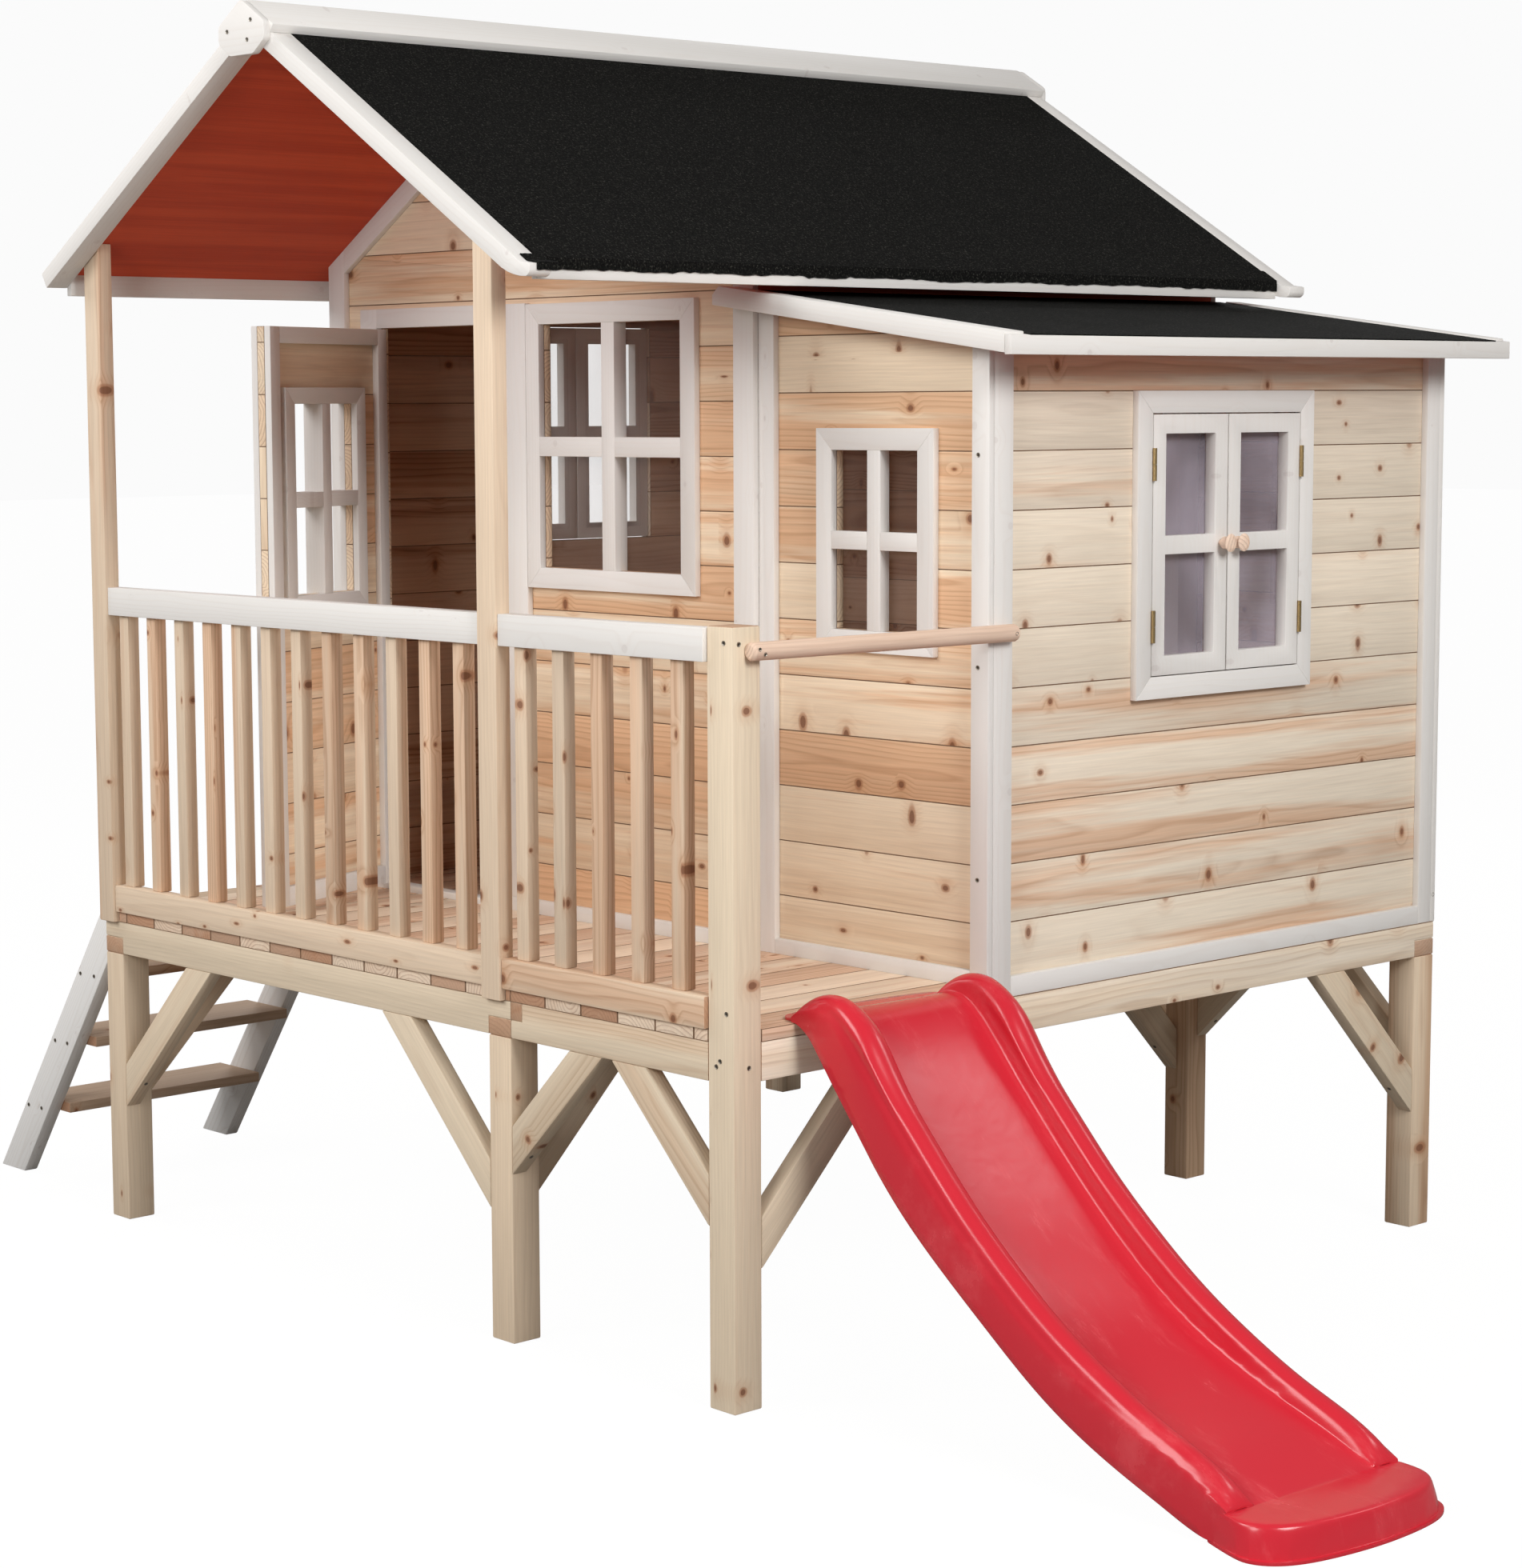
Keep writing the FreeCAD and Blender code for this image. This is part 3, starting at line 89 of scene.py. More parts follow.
air = bpy.data.worlds.new("pale_air")
bpy.context.scene.world = air
air.use_nodes = True
sky = air.node_tree.nodes
links = air.node_tree.links
for n in list(sky):
    sky.remove(n)
seen = sky.new("ShaderNodeBackground")
seen.inputs["Color"].default_value = (0.965, 0.965, 0.965, 1.0)
seen.inputs["Strength"].default_value = 1.0
fill = sky.new("ShaderNodeBackground")
fill.inputs["Color"].default_value = (1.0, 0.97, 0.94, 1.0)
fill.inputs["Strength"].default_value = 0.22
ray = sky.new("ShaderNodeLightPath")
either = sky.new("ShaderNodeMath")
either.operation = "MAXIMUM"
links.new(ray.outputs["Is Camera Ray"], either.inputs[0])
links.new(ray.outputs["Is Transmission Ray"], either.inputs[1])
mix = sky.new("ShaderNodeMixShader")
links.new(either.outputs[0], mix.inputs[0])
links.new(fill.outputs[0], mix.inputs[1])
links.new(seen.outputs[0], mix.inputs[2])
out = sky.new("ShaderNodeOutputWorld")
links.new(mix.outputs[0], out.inputs[0])

bpy.ops.object.select_all(action="DESELECT")
bpy.ops.mesh.primitive_plane_add(size=90.0, location=(0.0, 0.0, -0.001))
floor = bpy.context.active_object
floor.name = "studio_floor"
floor_paint = bpy.data.materials.new("floor_paint")
floor_paint.use_nodes = True
tree = floor_paint.node_tree
shader = tree.nodes["Principled BSDF"]
shader.inputs["Base Color"].default_value = (0.28, 0.27, 0.26, 1.0)
shader.inputs["Roughness"].default_value = 0.9
glow = tree.nodes.new("ShaderNodeEmission")
glow.inputs["Strength"].default_value = 1.085
ray = tree.nodes.new("ShaderNodeLightPath")
share = tree.nodes.new("ShaderNodeMath")
share.operation = "MULTIPLY"
share.inputs[1].default_value = 0.9
mix = tree.nodes.new("ShaderNodeMixShader")
tree.links.new(ray.outputs["Is Camera Ray"], share.inputs[0])
tree.links.new(share.outputs[0], mix.inputs[0])
tree.links.new(shader.outputs[0], mix.inputs[1])
tree.links.new(glow.outputs[0], mix.inputs[2])
tree.links.new(mix.outputs[0], tree.nodes["Material Output"].inputs[0])
floor.data.materials.append(floor_paint)


# Legs and corner post: square planed softwood standing on the ground. Every
# timber below is worked the same way: its own solid, edges eased with a plane,
# and grain that runs along its length from its own place in the log.
def chosen(piece):
    bpy.ops.object.select_all(action="DESELECT")
    piece.select_set(True)
    bpy.context.view_layer.objects.active = piece


def points(mesh):
    co = np.empty(len(mesh.vertices) * 3)
    mesh.vertices.foreach_get("co", co)
    return co.reshape(-1, 3)


def closed_solids(node):
    # A solid is complete when each edge of its triangles has met its partner.
    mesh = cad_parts[node].data
    co = points(mesh)
    _, first, same = np.unique(np.round(co, 6), axis=0, return_index=True, return_inverse=True)
    same = same.reshape(-1)
    mesh.calc_loop_triangles()
    open_edges = set()
    group, groups = [], []
    for tri in mesh.loop_triangles:
        a, b, c = (int(same[v]) for v in tri.vertices)
        if a == b or b == c or a == c:
            continue
        group.append((a, b, c))
        for e in ((a, b), (b, c), (c, a)):
            if (e[1], e[0]) in open_edges:
                open_edges.remove((e[1], e[0]))
            else:
                open_edges.add(e)
        if not open_edges:
            groups.append(group)
            group = []
    if group:
        groups.append(group)
    verts, faces = [], []
    for group in groups:
        place = {}
        for tri in group:
            for v in tri:
                if v not in place:
                    place[v] = len(verts)
                    verts.append(tuple(co[first[v]]))
            faces.append(tuple(place[v] for v in tri))
    return verts, faces


def islands(mesh):
    # Each vertex gets the lowest number among those that its edges lead to.
    edges = np.empty(len(mesh.edges) * 2, dtype=np.int64)
    mesh.edges.foreach_get("vertices", edges)
    edges = edges.reshape(-1, 2)
    label = np.arange(len(mesh.vertices))
    while True:
        low = np.minimum(label[edges[:, 0]], label[edges[:, 1]])
        new = label.copy()
        np.minimum.at(new, edges[:, 0], low)
        np.minimum.at(new, edges[:, 1], low)
        new = new[new]
        if (new == label).all():
            return label
        label = new


def run_grain(piece, seed):
    # Stores where each timber lies in its log, its tone and its sawn end faces.
    mesh = piece.data
    co = points(mesh)
    label = islands(mesh)
    rng = np.random.default_rng(seed)
    grain = np.zeros_like(co)
    tone = np.zeros(len(co))
    along = np.zeros_like(co)
    for one in np.unique(label):
        at = label == one
        pts = co[at] - co[at].mean(0)
        spread = np.cov(pts.T)
        _, axes = np.linalg.eigh(spread)
        local = pts @ axes[:, ::-1]
        shift = (rng.uniform(0, 40), rng.uniform(-0.035, 0.035), rng.uniform(0.012, 0.075))
        grain[at] = local + shift
        tone[at] = rng.uniform(0, 1)
        along[at] = axes[:, 2]
    layer = mesh.attributes.new("grain", "FLOAT_VECTOR", "POINT")
    layer.data.foreach_set("vector", grain.reshape(-1))
    layer = mesh.attributes.new("tone", "FLOAT", "POINT")
    layer.data.foreach_set("value", tone)
    sawn = [abs(face.normal.dot(along[face.vertices[0]])) > 0.85 for face in mesh.polygons]
    layer = mesh.attributes.new("sawn", "FLOAT", "FACE")
    layer.data.foreach_set("value", np.array(sawn, dtype=float))


flat_angle = math.radians(1.0)
corner_angle = math.radians(40.0)
smooth_angle = math.radians(35.0)


def planed(node, finish, edge, seed, body=BODY, groove=None):
    verts, faces = closed_solids(node)
    mesh = bpy.data.meshes.new(node + "_planed")
    mesh.from_pydata(verts, [], faces)
    piece = placed(node + "_planed", mesh)
    chosen(piece)
    bpy.ops.object.mode_set(mode="EDIT")
    bpy.ops.mesh.select_all(action="SELECT")
    bpy.ops.mesh.dissolve_limited(angle_limit=flat_angle)
    bpy.ops.object.mode_set(mode="OBJECT")
    ease = piece.modifiers.new("eased_edges", "BEVEL")
    ease.width = edge
    ease.segments = 2
    ease.limit_method = "ANGLE"
    ease.angle_limit = corner_angle
    piece.data.materials.append(finish)
    if groove:
        piece.data.materials.append(groove)
        ease.material = 1
        ease.use_clamp_overlap = False
    bpy.ops.object.modifier_apply(modifier=ease.name)
    bpy.ops.object.shade_smooth_by_angle(angle=smooth_angle)
    run_grain(piece, seed)
    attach(piece, body)
    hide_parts(node)
    return piece


class Finish:
    def __init__(self, name):
        self.material = bpy.data.materials.new(name)
        self.material.use_nodes = True
        self.tree = self.material.node_tree
        self.shader = self.tree.nodes["Principled BSDF"]

    def link(self, value, socket):
        if isinstance(value, bpy.types.NodeSocket):
            self.tree.links.new(value, socket)
        else:
            socket.default_value = value

    def paint(self, colour):
        self.link(colour, self.shader.inputs["Base Color"])

    def rough(self, value):
        self.link(value, self.shader.inputs["Roughness"])

    def place(self):
        return self.tree.nodes.new("ShaderNodeTexCoord").outputs["Object"]

    def math(self, operation, a, b=0.0, c=0.0, clamp=False):
        n = self.tree.nodes.new("ShaderNodeMath")
        n.operation = operation
        n.use_clamp = clamp
        for value, socket in zip((a, b, c), n.inputs):
            self.link(value, socket)
        return n.outputs[0]

    def attribute(self, name):
        n = self.tree.nodes.new("ShaderNodeAttribute")
        n.attribute_name = name
        return n

    def stretch(self, vector, scale):
        n = self.tree.nodes.new("ShaderNodeMapping")
        self.link(vector, n.inputs["Vector"])
        n.inputs["Scale"].default_value = scale
        return n.outputs[0]

    def noise(self, vector, scale, detail=2.0, rough=0.5):
        n = self.tree.nodes.new("ShaderNodeTexNoise")
        self.link(vector, n.inputs["Vector"])
        n.inputs["Scale"].default_value = scale
        n.inputs["Detail"].default_value = detail
        n.inputs["Roughness"].default_value = rough
        return n.outputs[0]

    def ramp(self, value, stops):
        n = self.tree.nodes.new("ShaderNodeValToRGB")
        self.link(value, n.inputs[0])
        bar = n.color_ramp.elements
        while len(bar) < len(stops):
            bar.new(0.5)
        for e, (at, colour) in zip(bar, stops):
            e.position = at
            e.color = colour if isinstance(colour, tuple) else (colour, colour, colour, 1.0)
        return n.outputs[0]

    def range(self, value, low, high, to_low=0.0, to_high=1.0):
        n = self.tree.nodes.new("ShaderNodeMapRange")
        n.interpolation_type = "SMOOTHSTEP"
        for v, socket in zip((value, low, high, to_low, to_high), n.inputs):
            self.link(v, socket)
        return n.outputs[0]

    def blend(self, amount, a, b, how="MIX"):
        n = self.tree.nodes.new("ShaderNodeMix")
        n.data_type = "RGBA"
        n.blend_type = how
        self.link(amount, n.inputs[0])
        self.link(a, n.inputs[6])
        self.link(b, n.inputs[7])
        return n.outputs[2]

    def bump(self, height, strength, distance):
        n = self.tree.nodes.new("ShaderNodeBump")
        n.inputs["Strength"].default_value = strength
        n.inputs["Distance"].default_value = distance
        self.link(height, n.inputs["Height"])
        self.link(n.outputs[0], self.shader.inputs["Normal"])


late_tint = (0.50, 0.32, 0.20, 1.0)
halo_tint = (0.55, 0.27, 0.12, 1.0)
rim_tint = (0.38, 0.14, 0.055, 1.0)
core_tint = (0.16, 0.054, 0.025, 1.0)
end_tint = (0.44, 0.215, 0.115, 1.0)
ring_tint = (0.34, 0.17, 0.10, 1.0)
knots_per_metre = 9.5
rings_per_metre = 150.0


def softwood(name, sap, heart, dull, spread=0.5, streak=0.3, stain=None, cover=0.0, clear=0.5,
             ends=0.5, ripeness=0.0):
    # Knots cut the timber's sides, rings run round its length, and the pores
    # follow it. Sap, heart and dull are the wood's colours, clear is the share
    # of the places for knots that stay empty, and ends that of dark sawn ends.
    f = Finish(name)
    grain = f.attribute("grain").outputs["Vector"]
    tone = f.attribute("tone").outputs["Fac"]
    other = f.math("FRACT", f.math("MULTIPLY", tone, 17.0))
    third = f.math("FRACT", f.math("MULTIPLY", tone, 5.0))
    parts = f.tree.nodes.new("ShaderNodeSeparateXYZ")
    f.link(grain, parts.inputs[0])
    y, z = parts.outputs[1], parts.outputs[2]
    around = f.math("MULTIPLY", f.math("ARCTAN2", y, z), 0.058)
    limb = f.tree.nodes.new("ShaderNodeCombineXYZ")
    f.link(parts.outputs[0], limb.inputs[0])
    f.link(f.math("MULTIPLY_ADD", tone, 9.0, around), limb.inputs[1])
    warp = f.noise(f.stretch(grain, (1.6, 9.0, 9.0)), 1.0, 2.0)
    knots = f.tree.nodes.new("ShaderNodeTexVoronoi")
    knots.voronoi_dimensions = "2D"
    knots.inputs["Scale"].default_value = knots_per_metre
    f.link(limb.outputs[0], knots.inputs["Vector"])
    kind = f.tree.nodes.new("ShaderNodeSeparateColor")
    f.link(knots.outputs["Color"], kind.inputs[0])
    there = f.math("GREATER_THAN", kind.outputs[0], clear)
    size = f.math("MULTIPLY_ADD", kind.outputs[1], 0.046, 0.031)
    away = f.math("ADD", knots.outputs["Distance"], f.math("MULTIPLY", warp, 0.02))
    away = f.math("DIVIDE", away, size)
    core = f.math("MULTIPLY", f.range(away, 1.15, 0.85), there)
    rim = f.math("MULTIPLY", f.range(away, 1.9, 1.2), there)
    halo = f.math("MULTIPLY", f.range(away, 5.0, 0.9), there)
    flat = f.math("SQRT", f.math("ADD", f.math("MULTIPLY", y, y), f.math("MULTIPLY", z, z)))
    radius = f.math("ADD", flat, f.math("MULTIPLY", warp, 0.034))
    radius = f.math("ADD", radius, f.math("MULTIPLY", halo, 0.008))
    turns = f.math("FRACT", f.math("MULTIPLY", radius, rings_per_metre))
    late_band = f.ramp(turns, ((0.0, 0.0), (0.5, 0.15), (0.84, 1.0), (1.0, 0.0)))
    fibre = f.noise(f.stretch(grain, (8.0, 300.0, 300.0)), 1.0, 2.0, 0.6)
    band = f.noise(f.stretch(grain, (0.7, 20.0, 20.0)), 1.0, 5.0, 0.6)
    band = f.math("ADD", band, f.math("MULTIPLY", f.math("SUBTRACT", tone, 0.5), spread))
    ripe = f.range(f.math("MULTIPLY_ADD", halo, 0.05, band), 0.44 - ripeness, 0.64 - ripeness)
    cloud = f.noise(f.stretch(grain, (1.3, 34.0, 34.0)), 1.0, 4.0, 0.6)
    cloud = f.math("ADD", cloud, f.math("MULTIPLY", f.math("SUBTRACT", other, 0.5), 0.45))
    colour = f.blend(ripe, sap, heart)
    colour = f.blend(f.math("MULTIPLY", f.range(cloud, 0.5, 0.8), 0.65), colour, dull)
    strength = f.math("MULTIPLY", late_band, f.math("MULTIPLY_ADD", ripe, streak, 0.35 * streak))
    colour = f.blend(strength, colour, late_tint, "MULTIPLY")
    colour = f.blend(f.math("MULTIPLY", halo, 0.22), colour, halo_tint)
    colour = f.blend(f.math("MULTIPLY", rim, 0.6), colour, rim_tint)
    colour = f.blend(f.math("MULTIPLY", core, 0.7), colour, core_tint)
    end = f.blend(f.math("LESS_THAN", other, ends), sap, end_tint)
    end = f.blend(f.math("MULTIPLY", late_band, 0.5), end, ring_tint)
    sawn = f.attribute("sawn").outputs["Fac"]
    colour = f.blend(f.math("MULTIPLY", sawn, 0.7), colour, end)
    shade = f.math("MULTIPLY_ADD", fibre, 0.26, 0.85)
    shade = f.math("MULTIPLY", shade, f.math("MULTIPLY_ADD", third, 0.14, 0.92))
    whole = f.tree.nodes.new("ShaderNodeCombineColor")
    for socket in whole.inputs:
        f.link(shade, socket)
    colour = f.blend(1.0, colour, whole.outputs[0], "MULTIPLY")
    if stain:
        bare = f.math("MULTIPLY_ADD", late_band, 1.6 - 1.6 * cover, 0.3 - 0.3 * cover)
        thick = f.math("SUBTRACT", 1.0, f.math("MULTIPLY_ADD", core, 0.1, bare), clamp=True)
        colour = f.blend(thick, colour, stain)
    f.paint(colour)
    f.rough(0.62)
    f.shader.inputs["Specular IOR Level"].default_value = 0.3
    height = f.math("MULTIPLY_ADD", fibre, 0.6, f.math("MULTIPLY", late_band, 0.4))
    f.bump(height, 0.25, 0.0006)
    return f.material


pale_pine = softwood("pale_pine", (0.76, 0.63, 0.47, 1.0), (0.72, 0.55, 0.39, 1.0),
                     (0.64, 0.52, 0.38, 1.0), 0.3, 0.22, clear=0.72, ends=0.9)
leg_pine = softwood("leg_pine", (0.75, 0.60, 0.44, 1.0), (0.64, 0.44, 0.29, 1.0),
                    (0.58, 0.44, 0.31, 1.0), 0.6, 0.3, clear=0.66, ends=0.9)
planed("legs", leg_pine, 0.003, 11)
planed("corner_post", pale_pine, 0.003, 12)

zinc = Finish("screw_zinc")
wear_and_shade_noise = zinc.noise(zinc.place(), 500.0)
zinc.paint(zinc.blend(wear_and_shade_noise, (0.34, 0.31, 0.26, 1.0), (0.16, 0.14, 0.11, 1.0)))
zinc.shader.inputs["Metallic"].default_value = 0.8
zinc.rough(0.4)
# The drive's hole is not cut: its darkness is painted shade on a flat disc, mottled by noise.
drive_shade = Finish("screw_drive_painted_shade")
wear_and_shade_noise = drive_shade.noise(drive_shade.place(), 500.0)
drive_shade.paint(drive_shade.blend(wear_and_shade_noise, (0.05, 0.038, 0.026, 1.0), (0.02, 0.015, 0.011, 1.0)))


def screws(name, facing, spots, radius=0.0037):
    # One head is modelled with a dished face, its drive a flat disc coloured dark as painted shade
    # for the hole, and then copied.
    bpy.ops.object.select_all(action="DESELECT")
    bpy.ops.mesh.primitive_cylinder_add(vertices=16, radius=radius, depth=0.0014)
    head = bpy.context.active_object
    bpy.ops.object.mode_set(mode="EDIT")
    bpy.ops.mesh.select_mode(type="FACE")
    bpy.ops.mesh.select_all(action="DESELECT")
    bpy.ops.object.mode_set(mode="OBJECT")
    for face in head.data.polygons:
        face.select = face.normal.z > 0.9
    bpy.ops.object.mode_set(mode="EDIT")
    for rim, sunk in ((0.24, 0.0004), (0.16, 0.0003)):
        bpy.ops.mesh.inset(thickness=radius * rim)
        bpy.ops.transform.translate(value=(0.0, 0.0, -sunk))
    bpy.ops.object.mode_set(mode="OBJECT")
    turn = Vector(facing).to_track_quat("Z", "Y").to_matrix()
    proud = Vector((0.0, 0.0, 0.0004))
    verts, faces, drive_shade_faces = [], [], []
    for spot in spots:
        first = len(verts)
        for v in head.data.vertices:
            verts.append(turn @ (v.co + proud) + Vector(spot))
        for face in head.data.polygons:
            faces.append([first + v for v in face.vertices])
            drive_shade_faces.append(int(face.select))
    mesh = bpy.data.meshes.new(name)
    mesh.from_pydata(verts, [], faces)
    piece = placed(name, mesh)
    bpy.data.objects.remove(head)
    mesh.materials.append(zinc.material)
    mesh.materials.append(drive_shade.material)
    mesh.polygons.foreach_set("material_index", drive_shade_faces)
    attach(piece, BODY)


to_front = (0.0, -1.0, 0.0)
to_right = (1.0, 0.0, 0.0)
screws("corner_post_screws", to_front, [(0.6047, -0.8985, 1.1706), (0.6077, -0.8985, 0.6148),
                                        (0.5932, -0.8985, 0.541), (0.585, -0.8985, 0.532)])
screws("corner_post_side_screws", to_right, [(0.6233, -0.868, 0.531), (0.6233, -0.886, 1.169)])


# Platform: half-lapped beams, joists, diagonal braces and deck boards, all of
# bare softwood and screwed together. The annex's side beam has painted light:
# a paler copy of its timber, where the lamps leave it in shade. The boards'
# sawn ends show along the front.
def recoat(piece, finish, wanted):
    piece.data.materials.append(finish)
    for face in piece.data.polygons:
        if wanted(face):
            face.material_index = len(piece.data.materials) - 1


planed("main_beams", pale_pine, 0.0025, 21)
# A paler copy of pale_pine: painted light on the side beam, which the lamps leave in shade.
painted_light_pine = softwood("painted_light_pine", (0.90, 0.79, 0.65, 1.0), (0.84, 0.70, 0.54, 1.0),
                      (0.80, 0.70, 0.58, 1.0), 0.3, 0.22, clear=0.72, ends=0.9)
annex_beams = planed("annex_beams", pale_pine, 0.0025, 22)
side_beam_x = 0.56
side_beam_end = 0.84
recoat(annex_beams, painted_light_pine,
       lambda face: face.center.x > side_beam_x and abs(face.center.y) < side_beam_end)
planed("deck_joists", pale_pine, 0.002, 23)
planed("braces", pale_pine, 0.0025, 24)
brace_rows = (-0.8865, 0.8465)
brace_feet = [(-1.0547, 1.0, 0.217, 0.0495), (0.0373, -1.0, 0.217, 0.0495),
              (0.0943, 1.0, 0.282, 0.0340), (0.5663, -1.0, 0.282, 0.0340)]
for name, way in (("brace_right_screws", 1.0), ("brace_left_screws", -1.0)):
    feet = [(x + way * up, z + up) for x, lean, z, up in brace_feet if lean == way]
    screws(name, (way, 0.0, -1.0), [(x, y, z) for x, z in feet for y in brace_rows])
side_rows = (-1.0967, 0.0523, 0.6083)
foot_z, screw_up = 0.217, 0.0495
for name, foot_y, way in (("brace_rear_screws", -0.8415, 1.0),
                          ("brace_front_screws", 0.8045, -1.0)):
    y, z = foot_y + way * screw_up, foot_z + screw_up
    screws(name, (0.0, way, -1.0), [(x, y, z) for x in side_rows])
deck_fir = softwood("deck_fir", (0.86, 0.70, 0.54, 1.0), (0.74, 0.51, 0.36, 1.0),
                    (0.68, 0.53, 0.41, 1.0), 0.8, 0.35, ends=0.4)
seam = Finish("board_joint")
depth = seam.noise(seam.place(), 60.0)
seam.paint(seam.blend(depth, (0.30, 0.175, 0.10, 1.0), (0.16, 0.09, 0.052, 1.0)))
seam.rough(0.85)
joint = seam.material
planed("deck_boards", deck_fir, 0.0012, 25, groove=joint)


# Porch: two tall posts that carry the roof, and between them bare bottom rails,
# square-cut balusters and white-stained top rails, all planed from softwood.
porch_fir = softwood("porch_fir", (0.76, 0.60, 0.445, 1.0), (0.73, 0.50, 0.34, 1.0),
                     (0.66, 0.52, 0.39, 1.0), 0.5, 0.3, clear=0.4)
planed("porch_posts", porch_fir, 0.0025, 31)
planed("bottom_rails", porch_fir, 0.0025, 32)
planed("balusters", porch_fir, 0.002, 33)
white_stain = softwood("white_stain", (0.76, 0.62, 0.46, 1.0), (0.66, 0.45, 0.30, 1.0),
                       (0.62, 0.50, 0.38, 1.0), 0.5, 0.4, (0.80, 0.775, 0.745, 1.0), 0.965)
planed("top_rails", white_stain, 0.0015, 34)


# Grab bar: turned from a pinkish hardwood, flattened at the back and screwed to
# the corner post and the annex's corner, over the top of the slide.
turned_beech = softwood("turned_beech", (0.88, 0.68, 0.54, 1.0), (0.83, 0.61, 0.47, 1.0),
                        (0.78, 0.58, 0.45, 1.0), 0.2, 0.15, clear=0.96, ends=0.0)
planed("grab_bar", turned_beech, 0.0008, 41)
screws("grab_bar_screws", to_right, [(0.6476, -0.8655, 1.1615), (0.6476, -0.8545, 1.1540),
                                     (0.6476, -0.3060, 1.1575)], radius=0.003)


# Ladder: greyish white stringers, brown treads let in between them, and a
# cleat that holds the ladder's head to the platform.
grey_white = softwood("grey_white_stain", (0.72, 0.62, 0.50, 1.0), (0.55, 0.45, 0.36, 1.0),
                      (0.52, 0.46, 0.40, 1.0), 0.5, 0.4, (0.82, 0.81, 0.795, 1.0), 0.9)
tread_wood = softwood("tread_wood", (0.53, 0.38, 0.27, 1.0), (0.38, 0.24, 0.16, 1.0),
                      (0.46, 0.34, 0.25, 1.0), 0.5, 0.5)
planed("ladder_stringers", grey_white, 0.003, 51)
planed("ladder_treads", tread_wood, 0.0025, 52)
planed("ladder_cleat", pale_pine, 0.0025, 53)
tread_fixings = [(-1.3128, 0.431), (-1.2637, 0.431), (-1.4127, 0.285), (-1.368, 0.285),
                 (-1.5193, 0.140), (-1.471, 0.140)]
for side, y in ((-1.0, -0.8325), (1.0, -0.3185)):
    name = "front_tread_screws" if side < 0 else "rear_tread_screws"
    screws(name, (0.0, side, 0.0), [(x, y, z) for x, z in tread_fixings])


# Walls: courses of tongued softwood boards with an eased joint between each,
# left bare and warmer in tone round the porch. Their faces inside the room
# take a darker, redder copy of the timber as painted shade.
wall_fir = softwood("wall_fir", (0.86, 0.745, 0.60, 1.0), (0.79, 0.54, 0.37, 1.0),
                    (0.73, 0.62, 0.50, 1.0), 0.55, 0.25)
porch_wall_fir = softwood("porch_wall_fir", (0.92, 0.755, 0.56, 1.0), (0.80, 0.51, 0.31, 1.0),
                          (0.76, 0.56, 0.38, 1.0), 0.35, 0.26, ends=0.0, ripeness=0.03)
# A darker copy of wall_fir: painted shade for the faces inside the room.
room_fir_painted_shade = softwood("room_fir_painted_shade", (0.72, 0.47, 0.32, 1.0), (0.52, 0.28, 0.16, 1.0),
                    (0.46, 0.29, 0.20, 1.0), 0.7, 0.5)
rear_wall = planed("back_wall_boards", wall_fir, 0.0010, 62, groove=joint)
left_wall = planed("left_wall_boards", wall_fir, 0.0010, 63, groove=joint)
# Faces that look into the room take the painted shade.
for wall, inward in ((rear_wall, Vector(to_front)), (left_wall, Vector(to_right))):
    recoat(wall, room_fir_painted_shade, lambda face: face.material_index == 0 and face.normal.dot(inward) > 0.9)
planed("front_wall_boards", porch_wall_fir, 0.0010, 61, groove=joint)
planed("upper_wall_boards", wall_fir, 0.0010, 64, groove=joint)
annex_walls = planed("annex_wall_boards", wall_fir, 0.0010, 65, groove=joint)
board_back = min(v.co.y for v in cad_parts["annex_wall_boards"].data.vertices) + 0.0165
recoat(annex_walls, porch_wall_fir,
       lambda face: face.material_index == 0 and face.center.y < board_back)


# Trim: white-stained softwood strips screwed over the walls' corners, feet and
# gables, and the inner posts of the opening between the rooms. The annex's
# strips reach down over the deck's edge.
corners = planed("corner_trims", white_stain, 0.0012, 71)
foot = planed("base_trims", white_stain, 0.001, 72)
annex_side = max(v.co.x for v in foot.data.vertices)
annex_front, annex_rear = -0.34, 0.858
deck_top, deck_edge = 0.587, 0.5685
foot_top, shoulder_top, shoulder_drop = 0.6, 0.62, 0.012
strip, skin, proud = 0.014, 0.003, 0.0008
for trim in (foot, corners):
    for v in trim.data.vertices:
        if v.co.x > annex_side - strip and (v.co.y > annex_front or trim == corners):
            if v.co.z < foot_top:
                v.co.z -= deck_top - deck_edge
                v.co.x += proud if v.co.x > annex_side - skin else 0.0
                v.co.y += proud if v.co.y > annex_rear else 0.0
            elif v.co.z < shoulder_top:
                v.co.z -= shoulder_drop
screws("corner_trim_screws", to_front, [(0.6005, -0.3465, 1.4398), (0.6016, -0.3465, 1.1030),
                                        (0.6026, -0.3465, 0.7619)])
screws("rear_trim_screw", to_right, [(0.6233, 0.8560, 0.6180)])
planed("gable_trims", white_stain, 0.001, 73)
planed("partition_frame", white_stain, 0.001, 74)


# Windows: mitred white casings with bars in a cross and a clear, faintly
# tinted plastic sheet behind.
planed("window_casings", white_stain, 0.0008, 81)
planed("window_bars", white_stain, 0.0008, 82)
planed("casement_casings", white_stain, 0.0008, 83)


def clear_sheet(name, tint, least, most):
    # The haze in the sheet runs from the least to the most of its opacity.
    f = Finish(name)
    f.paint(tint)
    f.rough(0.06)
    place = f.place()
    haze = f.range(f.noise(place, 5.0), 0.3, 0.7, least, most)
    f.link(haze, f.shader.inputs["Alpha"])
    f.bump(f.noise(place, 6.0), 0.1, 0.002)
    return f.material


